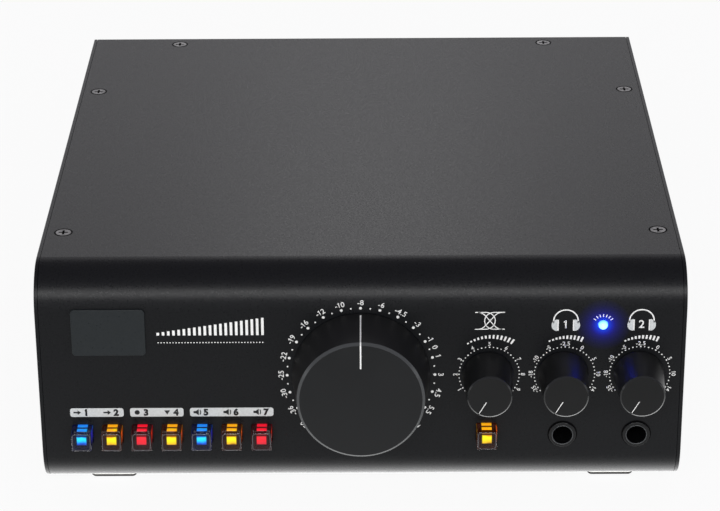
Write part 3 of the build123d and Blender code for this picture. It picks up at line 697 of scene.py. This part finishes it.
@dataclass(frozen=True)
class Studio:
    """A plain pale floor, a soft sky, soft lamps and the camera."""

    eye: Triple = (4.05, -883.54, 445.63)  # the camera's place, in millimetres
    pitch: float = 25.108  # degrees down
    yaw: float = -0.306  # degrees to the right
    roll: float = -0.397  # degrees of lean
    focal: float = 2698.6  # focal length, in pixels of the picture
    drop: float = 30.0  # shift of the lens, in pixels
    clip: Pair = (0.01, 100)  # metres
    floor_reach: float = 24.0
    floor_glow: float = 0.925  # its own light
    flag_reach: Pair = (0.10, -1.6)  # metres along Y
    flag_width: float = 3.0
    flag_rise: float = 0.002
    # how bright the cloth is at each distance before the middle, in metres
    flag_light: tuple[Pair, ...] = (
        (0.099, 2.6), (0.103, 1.4), (0.108, 0.68), (0.117, 0.48), (0.13, 0.54), (0.16, 0.54), (0.245, 0.32))
    # the bright walls, the dim room before the object, and the ceiling
    walls: tuple[str, str, str] = ("#f3f3f6", "#8f9094", "#7b7880")
    room_starts: Pair = (-0.5, -0.9)  # the direction's Y
    ceiling_starts: Pair = (0.10, 0.30)  # the direction's Z
    lamps: tuple[SoftLamp, ...] = (
        SoftLamp("front_softbox", (0, -2.6, 1.56), (3.0, 0.9), 4.5),
        SoftLamp("front_fill", (0, -3.0, 0.9), (3.0, 1.2), 2.6, mirrored=False),
        SoftLamp("lit_back_wall", (0, 3.2, 1.62), (5.0, 1.4), 0.60),
        SoftLamp("back_card", (0, 2.0, 1.20), (0.30, 0.42), 1.7),
    )

    def camera(self) -> None:
        """Adds the camera."""
        down, side, lean = (math.radians(angle) for angle in (self.pitch, self.yaw, self.roll))
        ahead = Vector((math.sin(side) * math.cos(down), math.cos(side) * math.cos(down), -math.sin(down)))
        right = Vector((math.cos(side), -math.sin(side), 0))
        up = right.cross(ahead)
        tilted_right = math.cos(lean) * right + math.sin(lean) * up
        tilted_up = math.cos(lean) * up - math.sin(lean) * right
        turn = Matrix((tilted_right, tilted_up, -ahead)).transposed()
        bpy.ops.object.camera_add(location=Vector(self.eye) * MM, rotation=turn.to_euler())
        camera = bpy.context.object
        camera.data.lens = self.focal / PICTURE_WIDTH * camera.data.sensor_width
        camera.data.shift_y = self.drop / PICTURE_WIDTH
        camera.data.clip_start, camera.data.clip_end = self.clip
        bpy.context.scene.camera = camera

    def floor(self) -> None:
        """Adds the floor, matt and faintly luminous so that its shadows stay pale."""
        bpy.ops.mesh.primitive_plane_add(size=self.floor_reach)
        self.covered("studio_floor", "matt_studio_floor", "BsdfPrincipled", lambda graph: {
            "Base Color": linear("#505050"), "Roughness": 1.0, "Specular IOR Level": 0.0,
            "Emission Color": linear("#ffffff"), "Emission Strength": self.floor_glow,
        })

    def flag(self) -> None:
        """Lays a cloth on the floor, under and before the object, which only reflections see.

        It is bright under the object and darkens with its distance from it, so that the lower bend
        shines and the front's reflection falls off upwards.
        """
        (near, far), (start, end) = self.flag_reach, (self.flag_light[0][0], self.flag_light[-1][0])
        most = max(light for _, light in self.flag_light)
        stops = [((distance - start) / (end - start), light / most) for distance, light in self.flag_light]
        bpy.ops.mesh.primitive_plane_add(size=1)
        flag = self.covered("studio_flag", "grey_studio_cloth", "Emission", lambda graph: {
            "Color": graph.ramp(graph.span(graph.axis(graph.place(), "Y"), -start, -end), stops), "Strength": most,
        })
        middle = Matrix.Translation((0, (near + far) / 2, self.flag_rise))
        flag.data.transform(middle @ Matrix.Diagonal((self.flag_width, near - far, 1, 1)))
        flag.visible_camera = flag.visible_diffuse = flag.visible_shadow = flag.visible_transmission = False

    def covered(self, name: str, material: str, kind: str, looks: Callable[[Graph], Values]) -> Object:
        """Covers the sheet that has just been added, and stages it.

        Args:
            name: the sheet's name.
            material: its material's name.
            kind: the kind of its shader.
            looks: wires what the shader gets.

        Returns:
            The sheet.
        """
        sheet = bpy.context.object
        sheet.name = name
        made, graph = new_material(material)
        graph.add("OutputMaterial", {"Surface": graph.add(kind, looks(graph)).outputs[0]})
        sheet.data.materials.append(made)
        return sheet

    def sky(self) -> None:
        """Adds the world: bright walls behind and beside, a dimmer ceiling, and the dim room before it."""
        world = bpy.data.worlds.new("studio_walls")
        world.use_nodes = True
        graph = Graph(world.node_tree)
        wall, room, ceiling = self.walls
        direction = graph.add("TexCoord").outputs["Generated"]
        ahead = graph.span(graph.axis(direction, "Y"), *self.room_starts, easing="SMOOTHSTEP")
        overhead = graph.span(graph.axis(direction, "Z"), *self.ceiling_starts, easing="SMOOTHSTEP")
        colour = graph.blend(overhead, graph.blend(ahead, wall, room), ceiling)
        light = graph.add("Background", {"Color": colour, "Strength": 1.0})
        graph.add("OutputWorld", {"Surface": light.outputs[0]})
        bpy.context.scene.world = world

    def build(self) -> None:
        """Adds everything."""
        self.camera()
        self.floor()
        self.flag()
        self.sky()
        for lamp in self.lamps:
            lamp.build()
        bpy.context.scene.view_settings.view_transform = "Standard"


# Modelling by hand.

@dataclass
class Workpiece:
    """One mesh object while it is being modelled."""

    item: Object

    @classmethod
    def primitive(cls, kind: str, **sizes: object) -> "Workpiece":
        """Adds a mesh primitive of a kind, such as plane or circle, at the origin."""
        getattr(bpy.ops.mesh, f"primitive_{kind}_add")(**sizes)
        return cls(bpy.context.object)

    @staticmethod
    def joined(parts: Sequence["Workpiece"]) -> "Workpiece":
        """Joins pieces into the first of them and returns it.

        Args:
            parts: the pieces, of which the first one stays.

        Returns:
            The first piece, with all of them in it.
        """
        parts[0].hold()
        for part in parts:
            part.item.select_set(True)
        if len(parts) > 1:
            bpy.ops.object.join()
        return parts[0]

    def hold(self) -> None:
        """Makes this the only piece that is selected."""
        bpy.ops.object.select_all(action="DESELECT")
        self.item.select_set(True)
        bpy.context.view_layer.objects.active = self.item

    @contextmanager
    def editing(self) -> Iterator[None]:
        """Keeps the piece in edit mode, all of it selected at the start.

        Yields:
            Nothing; the caller edits the piece here.
        """
        self.hold()
        bpy.ops.object.mode_set(mode="EDIT")
        bpy.ops.mesh.select_all(action="SELECT")
        yield
        bpy.ops.object.mode_set(mode="OBJECT")

    def pick_right(self) -> None:
        """Selects, in edit mode, only the vertices to the right of the origin."""
        bpy.ops.mesh.select_mode(type="VERT")
        bpy.ops.mesh.select_all(action="DESELECT")
        mesh = bmesh.from_edit_mesh(self.item.data)
        for vertex in mesh.verts:
            vertex.select_set(vertex.co.x > 0)
        mesh.select_flush_mode()
        bmesh.update_edit_mesh(self.item.data)

    def placed(self, place: Matrix) -> "Workpiece":
        """Moves the mesh by a matrix and returns the piece."""
        self.item.data.transform(place)
        return self

    def copy(self, place: Matrix) -> "Workpiece":
        """Returns a copy at a place, with a mesh of its own.

        Args:
            place: where the copy stands.

        Returns:
            The copy.
        """
        twin = self.item.copy()
        twin.data = self.item.data.copy()
        bpy.context.collection.objects.link(twin)
        return Workpiece(twin).placed(place)

    def copies(self, places: Sequence[Matrix]) -> list["Workpiece"]:
        """Returns a copy at each place and deletes the pattern piece.

        Args:
            places: where the copies stand.

        Returns:
            The copies.
        """
        made = [self.copy(place) for place in places]
        self.remove()
        return made

    def face_up(self) -> "Workpiece":
        """Turns every face of a flat mark to +Z and returns the piece.

        Returns:
            The piece.
        """
        with self.editing():
            bpy.ops.mesh.normals_make_consistent(inside=False)
            if sum(face.normal.z for face in bmesh.from_edit_mesh(self.item.data).faces) < 0:
                bpy.ops.mesh.flip_normals()
        return self

    def remove(self) -> None:
        """Deletes a pattern piece that has only been copied from."""
        bpy.data.objects.remove(self.item)

    def thickened(self, film: float) -> "Workpiece":
        """Gives a flat piece a thickness in millimetres, behind its face, and returns it.

        Args:
            film: the thickness, in millimetres.

        Returns:
            The piece.
        """
        self.hold()
        bpy.ops.object.modifier_add(type="SOLIDIFY")
        modifier = self.item.modifiers[-1]
        modifier.thickness, modifier.offset = film * MM, -1
        bpy.ops.object.modifier_apply(modifier=modifier.name)
        return self

    def laid_on_front(self, place: Vector, film: float) -> "Workpiece":
        """Lays a flat mark in millimetres on a front, with its origin at a place in metres."""
        return self.placed(in_metres(place) @ QUARTER_TURN).thickened(film)

    def finished(self, name: str, finish: Finish, body: str, slot: str) -> Object:
        """Names the piece, gives it its finish and sets it on its body.

        Args:
            name: the piece's name.
            finish: its finish.
            body: the body that it rides on.
            slot: not used.

        Returns:
            The object.
        """
        self.item.name = self.item.data.name = name
        self.item.data.materials.clear()
        self.item.data.materials.append(finish.material())
        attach(self.item, body)
        log.info("%s modelled, %d faces", name, len(self.item.data.polygons))
        return self.item


def in_metres(place: Vector) -> Matrix:
    """Turns millimetres into metres round a place that is given in metres."""
    return Matrix.Translation(place) @ Matrix.Scale(MM, 4)


def at(x: float = 0.0, y: float = 0.0, turn: float = 0.0, across: float = 1.0, up: float = 1.0) -> Matrix:
    """Gives the place of a flat mark: stretched, then turned clockwise in degrees, then moved."""
    turned = Matrix.Rotation(math.radians(-turn), 4, "Z")
    return Matrix.Translation((x, y, 0)) @ turned @ Matrix.Diagonal((across, up, 1, 1))


def on_ring(radius: float, turn: float) -> Matrix:
    """Gives the place of a mark on a ring, its top outwards, turned clockwise from the ring's top."""
    return at(turn=turn) @ at(y=radius)


# The print, in millimetres and in degrees clockwise from the top.

def disc(diameter: float, corners: int = 16) -> Workpiece:
    """Makes a round disc."""
    return Workpiece.primitive("circle", vertices=corners, radius=diameter / 2, fill_type="NGON")


def plate(width: float, height: float, corner: float = 0.0) -> Workpiece:
    """Makes a flat plate, with rounded corners where corner is given.

    Args:
        width: its width.
        height: its height.
        corner: the length cut off each corner and rounded.

    Returns:
        The plate.
    """
    piece = Workpiece.primitive("plane", size=1)
    with piece.editing():
        bpy.ops.transform.resize(value=(width, height, 1))
        if corner:
            bpy.ops.mesh.bevel(offset=corner, segments=6, affect="VERTICES")
    return piece


def arrowhead(length: float, width: float) -> Workpiece:
    """Makes a triangle that points right, with the middle of its base at the origin.

    Args:
        length: from its base to its point.
        width: the length of its base.

    Returns:
        The triangle.
    """
    piece = Workpiece.primitive("plane", size=1)
    with piece.editing():
        piece.pick_right()
        bpy.ops.mesh.merge(type="CENTER")
        bpy.ops.mesh.select_all(action="SELECT")
        bpy.ops.transform.translate(value=(0.5, 0, 0))
        bpy.ops.transform.resize(value=(length, width, 1), center_override=(0, 0, 0))
    return piece


def outline(width: float, height: float, corner: float, stroke: float) -> Workpiece:
    """Makes a flat frame with rounded corners and an even stroke.

    Args:
        width: its width.
        height: its height.
        corner: the length cut off each corner and rounded.
        stroke: how wide the stroke is.

    Returns:
        The frame.
    """
    piece = plate(width, height, corner)
    with piece.editing():
        bpy.ops.mesh.inset(thickness=stroke, depth=0)
        bpy.ops.mesh.delete(type="FACE")
    return piece


def arc(radius: float, stroke: float, start: float, sweep: float, step: float = 6.0) -> Workpiece:
    """Spins a short edge into a curved stroke round the origin.

    Args:
        radius: the radius of its middle line.
        stroke: how wide it is.
        start: where it starts, in degrees clockwise from the top.
        sweep: how far it goes, in degrees clockwise.
        step: how much of a turn one face takes, in degrees.

    Returns:
        The stroke.
    """
    piece = Workpiece.primitive("plane", size=stroke)
    with piece.editing():
        piece.pick_right()
        bpy.ops.mesh.delete(type="VERT")
        bpy.ops.mesh.select_all(action="SELECT")
        bpy.ops.transform.translate(value=(stroke / 2, radius, 0))
        bpy.ops.mesh.spin(steps=max(2, round(sweep / step)), angle=math.radians(sweep), center=(0, 0, 0),
                          axis=(0, 0, 1))
        bpy.ops.mesh.select_all(action="SELECT")
        bpy.ops.mesh.remove_doubles(threshold=stroke / 100)
    return piece.face_up().placed(at(turn=start))


@dataclass
class Numerals:
    """Plain numerals, each drawn once and copied wherever it is printed."""

    weight: float = 0.016  # how much the strokes are fattened
    type_height: float = 0.69  # how tall a figure is
    type_middle: float = 0.045  # how high its middle lies
    # widths of the narrow signs, and of the others
    narrow: Mapping[str, float] = field(default_factory=lambda: {"-": 0.34, ".": 0.24, "1": 0.42})
    width: float = 0.54
    drawn: dict[str, Workpiece] = field(default_factory=dict)
    hook: Pair = (0.20, 0.085)  # the stroke at the head of a 1, and its place and turn
    hook_place: Triple = (-0.09, 0.25, -38)

    def sign(self, character: str) -> Workpiece:
        """Draws a sign at type size 1, centred, or returns the one drawn before.

        Args:
            character: the sign.

        Returns:
            The pattern piece, which is copied and not used itself.
        """
        if character not in self.drawn:
            bpy.ops.object.text_add()
            text = bpy.context.object
            text.data.body = character
            text.data.align_x = text.data.align_y = "CENTER"
            text.data.offset = self.weight
            text.data.resolution_u = 4
            bpy.ops.object.convert(target="MESH")
            piece = Workpiece(bpy.context.object).placed(at(y=-self.type_middle))
            if character == "1":
                piece = Workpiece.joined([piece, plate(*self.hook).placed(at(*self.hook_place))])
            self.drawn[character] = piece
        return self.drawn[character]

    def number(self, signs: str, height: float, place: Matrix) -> Workpiece:
        """Prints a number, centred on its place.

        Args:
            signs: its figures, with any minus sign or point.
            height: how tall its figures are.
            place: where it goes.

        Returns:
            The number.
        """
        widths = [self.narrow.get(sign, self.width) for sign in signs]
        size = Matrix.Scale(height / self.type_height, 4)
        return Workpiece.joined([
            self.sign(sign).copy(place @ size @ at(sum(widths[:index]) + (widths[index] - sum(widths)) / 2))
            for index, sign in enumerate(signs)
        ])

    def put_away(self) -> None:
        """Deletes the drawn signs."""
        for piece in self.drawn.values():
            piece.remove()


@dataclass(frozen=True)
class DialScale:
    """A ring of dots and numbers round a knob, in millimetres and degrees clockwise from the top."""

    labels: Mapping[float, str]
    dots: float = 9.8  # radius of their ring
    numbers: float = 11.0  # radius of their middle
    figure: float = 1.35  # height
    diameters: Pair = (0.5, 0.4)  # of every second dot, and between
    end: int = 17  # dots on each side
    step: float = 7.5  # between dots

    def build(self, numerals: Numerals) -> Workpiece:
        """Prints the scale, flat, round the origin, with the figures that it is given.

        Args:
            numerals: what draws the figures.

        Returns:
            The scale's marks in one piece.
        """
        patterns = [disc(diameter) for diameter in self.diameters]
        marks = [patterns[index % 2].copy(on_ring(self.dots, index * self.step))
                 for index in range(-self.end, self.end + 1)]
        marks += [numerals.number(label, self.figure, on_ring(self.numbers, turn))
                  for turn, label in self.labels.items()]
        for pattern in patterns:
            pattern.remove()
        return Workpiece.joined(marks)


MAIN_SCALE = DialScale(dots=24.0, numbers=25.95, figure=1.75, diameters=(0.95, 0.55), end=18, labels={
    -135: "-50", -120: "-36", -105: "-30", -90: "-25", -75: "-22", -60: "-19", -45: "-16", -30: "-12",
    -15: "-10", 0: "-8", 15: "-6", 30: "-4.5", 45: "-3", 60: "-1", 67.5: "0", 75: "1", 90: "3",
    105: "4.5", 120: "5.5", 135: "7",
})
CROSSFEED_SCALE = DialScale({30 * (step - 5): str(step) for step in range(1, 10)})
PHONES_SCALE = DialScale({
    -120: "-35", -90: "-18", -60: "-10", -30: "-5", 0: "-2.5", 30: "0", 60: "5", 90: "10", 120: "14",
})


@dataclass(frozen=True)
class RisingBars:
    """A row of bars that grow to the right, along a ring or a straight line."""

    count: int
    span: float  # to each side, along the ring or the line
    heights: Pair
    width: float = 0.62
    ring: float = 0.0  # radius at their feet, or 0 for a straight line

    def build(self) -> Workpiece:
        """Draws the bars, flat.

        Returns:
            The bars in one piece.
        """
        low, high = self.heights
        places = []
        for index in range(self.count):
            along = index / (self.count - 1)
            aside = self.span * (2 * along - 1)
            foot = on_ring(self.ring, aside) if self.ring else at(aside)
            places.append(foot @ at(up=low + (high - low) * along))
        return Workpiece.joined(plate(self.width, 1.0).placed(at(y=0.5)).copies(places))


PHONES_BARS = RisingBars(10, 23.0, (0.5, 1.8), ring=12.7)


@dataclass
class FrontPrint:
    """Everything that is screen-printed on the front."""

    numerals: Numerals = field(default_factory=Numerals)
    bold: Numerals = field(default_factory=lambda: Numerals(weight=0.06))
    film: float = 0.03  # a real film is 0.02
    register: float = 0.45  # the small dials' print, right of their shafts
    label_rise: float = 7.96  # above the buttons' middle
    label_height: float = 3.15
    label_corner: float = 0.8
    label_reach: Pair = (3.8, 3.9)  # past its first and its last button's middle
    label_figure: float = 2.15  # height
    label_aside: float = 1.45  # pictogram and figure from the button's middle
    groups: tuple[tuple[int, ...], ...] = ((1, 2), (3, 4), (5, 6, 7))  # buttons under each plate
    symbol_rise: float = 19.3  # above the small dials' middle
    # each small dial's scale, and the bars over it, which mean more this way
    dials: Mapping[str, tuple[DialScale, RisingBars]] = field(default_factory=lambda: {
        "crossfeed_knob": (CROSSFEED_SCALE, RisingBars(13, 32.0, (0.5, 1.9), ring=12.95)),
        "phones_1_knob": (PHONES_SCALE, PHONES_BARS),
        "phones_2_knob": (PHONES_SCALE, PHONES_BARS),
    })
    level_place: Pair = (-48.55, 62.0)
    level_bars: RisingBars = RisingBars(21, 16.9, (1.0, 6.2), width=0.85)
    level_dots: int = 36
    ray: Triple = (0.3, 0.95, 3.35)  # width, height and ring

    def middle(self, node: str, aside: float = 0.0, above: float = 0.0) -> Pair:
        """Gives the place on the front aside of and above a node's middle, in millimetres."""
        place = middle_of(node) / MM
        return place.x + aside, place.z + above

    def printed(self, mark: Workpiece, name: str, finish: Finish, spot: Pair, layer: int = 1) -> None:
        """Prints a flat mark on the front.

        Args:
            mark: the mark, in millimetres, facing +Z with its top at +Y.
            name: the piece's name.
            finish: the ink.
            spot: where the mark's origin lies on the front.
            layer: 1 on the paint, 2 on another ink.
        """
        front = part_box("wrap_shell")[0][1]
        mark.laid_on_front(Vector((spot[0] * MM, front - layer * self.film * MM, spot[1] * MM)), self.film)
        mark.finished(name, finish, "chassis", "housing_paint" if finish is DARK_INK else "pointer_white")

    def scales(self) -> None:
        """Prints the four dial scales, and the bars over the small ones."""
        self.printed(MAIN_SCALE.build(self.numerals), "main_knob_scale", WHITE_INK, self.middle("main_knob"))
        for knob, (scale, bars) in self.dials.items():
            self.printed(Workpiece.joined([scale.build(self.numerals), bars.build()]), f"{knob}_scale", WHITE_INK,
                         self.middle(knob, self.register))

    def arrow(self) -> Workpiece:
        """Draws an arrow to the right: a source coming in."""
        return Workpiece.joined([arrowhead(1.1, 1.7).placed(at(0.1)), plate(1.5, 0.52).placed(at(-0.5))])

    def falling(self) -> Workpiece:
        """Draws a triangle that points down: quieter."""
        return arrowhead(1.5, 1.9).placed(at(0, 0.7, 90))

    def speaker(self) -> Workpiece:
        """Draws a loudspeaker with one wave before it.

        Returns:
            The mark.
        """
        cone = arrowhead(1.5, 2.3).placed(at(0.55, 0, 180))
        wave = arc(1.5, 0.34, 55, 70, 14).placed(at(-0.35))
        return Workpiece.joined([plate(0.7, 0.8).placed(at(-0.85)), cone, wave])

    def labels(self) -> None:
        """Prints the light plates over the buttons, with a dark pictogram and figure for each button."""
        signs = {1: self.arrow, 2: self.arrow, 3: lambda: disc(1.7), 4: self.falling}
        for number, group in enumerate(self.groups, start=1):
            centres = [self.middle(f"button_cap_{button}", 0, self.label_rise) for button in group]
            left, right = centres[0][0] - self.label_reach[0], centres[-1][0] + self.label_reach[1]
            level = centres[0][1]
            self.printed(plate(right - left, self.label_height, self.label_corner), f"label_plate_{number}",
                         LABEL_INK, ((left + right) / 2, level))
            marks = []
            for button, (x, _) in zip(group, centres):
                marks.append(signs.get(button, self.speaker)().placed(at(x - left - self.label_aside)))
                marks.append(self.bold.number(str(button), self.label_figure, at(x - left + self.label_aside)))
            self.printed(Workpiece.joined(marks), f"label_marks_{number}", DARK_INK, (left, level), layer=2)

    def headphones(self, number: int) -> None:
        """Prints a pair of headphones round a figure: its strokes white, its cups grey.

        Args:
            number: the output's number.
        """
        spot = self.middle(f"phones_{number}_knob", self.register, self.symbol_rise)
        band = arc(3.95, 0.42, -100, 200).placed(at(y=-0.2))
        pads = [plate(0.42, 3.9, 0.12).placed(at(side * 2.5, -1.7)) for side in (-1, 1)]
        figure = self.numerals.number(str(number), 2.7, at(y=-1.4))
        cup = disc(4.1, corners=28)
        with cup.editing():
            bpy.ops.mesh.bisect(plane_co=(0, 0, 0), plane_no=(1, 0, 0), clear_inner=True)
        sides = [at(side * 2.75, -1.7, across=side * 0.9) for side in (-1, 1)]
        cups = [piece.face_up() for piece in cup.copies(sides)]
        self.printed(Workpiece.joined([band, *pads, figure]), f"headphones_{number}_strokes", WHITE_INK, spot)
        self.printed(Workpiece.joined(cups), f"headphones_{number}_cups", LABEL_INK, spot)

    def crossing(self) -> Workpiece:
        """Draws two channels that cross and two that turn back: each fed into the other.

        Returns:
            The mark.
        """
        stroke, lean, radius, half, reach, inset = 0.3, 50.0, 3.0, 3.0, 4.8, 1.3
        drop = radius * (1 - math.cos(math.radians(lean)))
        run = (half - drop) / math.tan(math.radians(lean))
        end = run + radius * math.sin(math.radians(lean))
        strokes = []
        for side in (-1, 1):
            flip = Matrix.Diagonal((side, 1, 1, 1))
            strokes += [
                arc(radius, stroke, 0, lean).placed(flip @ at(-end, half - radius)),
                arc(radius, stroke, 180, lean).placed(flip @ at(end, radius - half)),
                plate(2 * math.hypot(run, half - drop), stroke).placed(flip @ at(turn=lean)),
                arc(half, stroke, 0, 180).placed(flip @ at(-inset)),
            ]
            strokes += [plate(reach - inset, stroke).placed(at(side * (reach + inset) / 2, rise))
                        for rise in (-half, half)]
        return Workpiece.joined(strokes).face_up()

    def level_mark(self) -> Workpiece:
        """Draws the level mark: bars that grow to the right over a row of dots.

        Returns:
            The mark.
        """
        span = self.level_bars.span
        step = 2 * span / (self.level_dots - 1)
        places = [at(index * step - span, -2.6) for index in range(self.level_dots)]
        dots = disc(0.42).copies(places)
        return Workpiece.joined([self.level_bars.build(), *dots])

    def rays(self) -> Workpiece:
        """Draws short rays over the lamp: it is lit."""
        width, height, ring = self.ray
        return Workpiece.joined(plate(width, height).copies([on_ring(ring, turn) for turn in range(-54, 55, 18)]))

    def build(self) -> None:
        """Prints everything."""
        self.scales()
        self.labels()
        for number in (1, 2):
            self.headphones(number)
        self.printed(self.crossing(), "crossing_channels", WHITE_INK,
                     self.middle("crossfeed_knob", self.register, self.symbol_rise))
        self.printed(self.level_mark(), "level_mark", WHITE_INK, self.level_place)
        self.printed(self.rays(), "lamp_rays", WHITE_INK, self.middle("power_led"))
        self.numerals.put_away()
        self.bold.put_away()


# Caps, pointer lines and dark gaps, in millimetres.

@dataclass
class ButtonCaps:
    """The smoked caps of the push buttons."""

    lights: tuple[Light, ...] = (Light.BLUE, Light.AMBER, Light.RED, Light.AMBER, Light.BLUE, Light.AMBER,
                                 Light.RED, Light.AMBER)
    edge: float = 0.45
    smooth_up_to: float = 35  # degrees
    # the painted edge highlight's width, height, corner and stroke
    rim: tuple[float, float, float, float] = (6.0, 6.1, 1.2, 0.24)
    rim_film: Pair = (0.06, 0.03)  # thickness, and how much stands before the cap
    wall: Triple = (0.4, 4.2, 3.6)  # the lit wall at the cap's right
    wall_edge: float = 0.12
    # right of, behind the front of, and above the cap's middle
    wall_place: Triple = (3.05, 3.2, 0.9)

    def block(self, size: Sequence[float], edge: float) -> Workpiece:
        """Makes a block with rounded edges, centred, in millimetres.

        Args:
            size: its three sides.
            edge: how far the rounding goes in from an edge.

        Returns:
            The block.
        """
        piece = Workpiece.primitive("cube", size=1)
        with piece.editing():
            bpy.ops.transform.resize(value=tuple(size))
            bpy.ops.mesh.bevel(offset=edge, segments=3, affect="EDGES")
            bpy.ops.mesh.faces_shade_smooth()
        bpy.ops.object.shade_smooth_by_angle(angle=math.radians(self.smooth_up_to))
        return piece

    def build(self) -> None:
        """Makes every cap with its painted edge highlight and its lit wall."""
        low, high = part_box("button_cap_1")
        cap = self.block((high - low) / MM, self.edge)
        wall = self.block(self.wall, self.wall_edge)
        film, proud = self.rim_film
        for number, light in enumerate(self.lights, start=1):
            node, body = f"button_cap_{number}", f"button_{number}"
            made = cap.copy(in_metres(middle_of(node)))
            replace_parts(made.finished(f"{body}_cap", light.cap(), body, "cap_clear"), node)
            # a thin grey outline: painted highlight on the cap's rounded front edge
            rim = outline(*self.rim).laid_on_front(before(node, proud), film)
            rim.finished(f"{body}_frosted_edge", PAINTED_CAP_EDGE_HIGHLIGHT, body, "cap_clear")
            lit = wall.copy(in_metres(before(node, 0) + Vector(self.wall_place) * MM))
            lit.finished(f"{body}_lit_wall", light.wall(), body, f"core_{light.name.lower()}")
        cap.remove()
        wall.remove()


@dataclass
class KnobPointers:
    """The white lines let into the faces of the small knobs."""

    turn: float = -150.0  # at rest
    reach: Pair = (2.0, 6.6)  # from the knob's middle
    width: float = 0.22
    depth: Pair = (0.14, 0.02)  # and how much of it stands before the face

    def build(self) -> None:
        """Lays one line in each groove."""
        start, end = self.reach
        depth, proud = self.depth
        for body in SMALL_KNOBS:
            line = plate(self.width, end - start, 0.1).placed(on_ring((start + end) / 2, self.turn))
            line.laid_on_front(before(body, proud), depth)
            line.finished(f"{body}_line", POINTER_WHITE, body, "pointer_white")


@dataclass
class ShadowGaps:
    """Painted shade: dark sheets in the gaps round the screw heads in the top and round the jacks, and in the
    recesses.
    """

    # screws, from the middle and behind the front
    places: tuple[Pair, ...] = ((98.2, 33.5), (98.2, 163.0), (71.0, 214.0))
    head: float = 3.06
    gap: float = 0.5
    cross: Pair = (3.1, 0.66)  # the recess's length and width
    rises: Pair = (0.03, -0.3)  # gaps and recesses, above the top
    film: float = 0.04
    jack: float = 4.46  # the collar's radius
    jack_gap: float = 0.42
    jack_proud: float = 0.02  # before what carries it
    mouth: Pair = (3.38, 0.17)  # the lip's radius and thickness

    def ring(self, radius: float, width: float) -> Workpiece:
        """Makes a flat ring."""
        return arc(radius, width, 0, 360, 12)

    def round_jacks(self) -> None:
        """Makes the painted shade in the gap round each headphone jack, and the lip round its mouth."""
        radius, thickness = self.mouth
        for name in ("phones_jack_1", "phones_jack_2"):
            # a dark ring on the panel: painted shade in the gap round the jack's collar
            gap = self.ring(self.jack + self.jack_gap / 2, self.jack_gap)
            gap.laid_on_front(before(name, self.jack_proud, "wrap_shell"), self.film)
            gap.finished(f"{name}_gap", SCREW_SHADOW, "chassis", "jack_plastic")
            lip = Workpiece.primitive("torus", major_radius=radius, minor_radius=thickness, major_segments=48,
                                      minor_segments=8)
            lip.placed(in_metres(before(name, self.jack_proud)) @ QUARTER_TURN)
            lip.hold()
            bpy.ops.object.shade_smooth()
            lip.finished(f"{name}_lip", JACK_LIP, "chassis", "jack_plastic")

    def round_screws(self) -> None:
        """Makes the painted shade in the gaps round the screws as one piece, and that in their recesses as another.
        """
        low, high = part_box("wrap_shell")
        ring = self.ring(self.head - self.gap / 2, self.gap)
        # dark sheets: painted shade in the gaps round the heads and in the cross recesses
        recess = Workpiece.joined([plate(*self.cross), plate(*reversed(self.cross))])
        for name, pattern, rise in zip(("screw_gaps", "screw_recess_shade"), (ring, recess), self.rises):
            made = pattern.copies([in_metres(Vector((side * x * MM, low.y + behind * MM, high.z + rise * MM)))
                                   for side in (-1, 1) for x, behind in self.places])
            piece = Workpiece.joined(made).thickened(self.film)
            piece.finished(name, SCREW_SHADOW, "chassis", "screw_steel")

    def build(self) -> None:
        """Makes all of them."""
        self.round_jacks()
        self.round_screws()


# The whole.

def dress_frame() -> None:
    """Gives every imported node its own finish, or else that of its slot."""
    for name, node in frame["nodes"].items():
        for index, material in enumerate(node.data.materials):
            finish = NODE_FINISHES.get(name, SLOT_FINISHES[material.name.split(".")[0]])
            node.data.materials[index] = finish.material()
        log.info("%s finished", name)


def main() -> None:
    """Builds the controller and its studio."""
    logging.basicConfig(level=logging.INFO, format="%(name)s: %(message)s")
    bpy.ops.object.select_all(action="DESELECT")
    Studio().build()
    dress_frame()
    FrontPrint().build()
    ButtonCaps().build()
    KnobPointers().build()
    ShadowGaps().build()


if __name__ == "__main__":
    main()
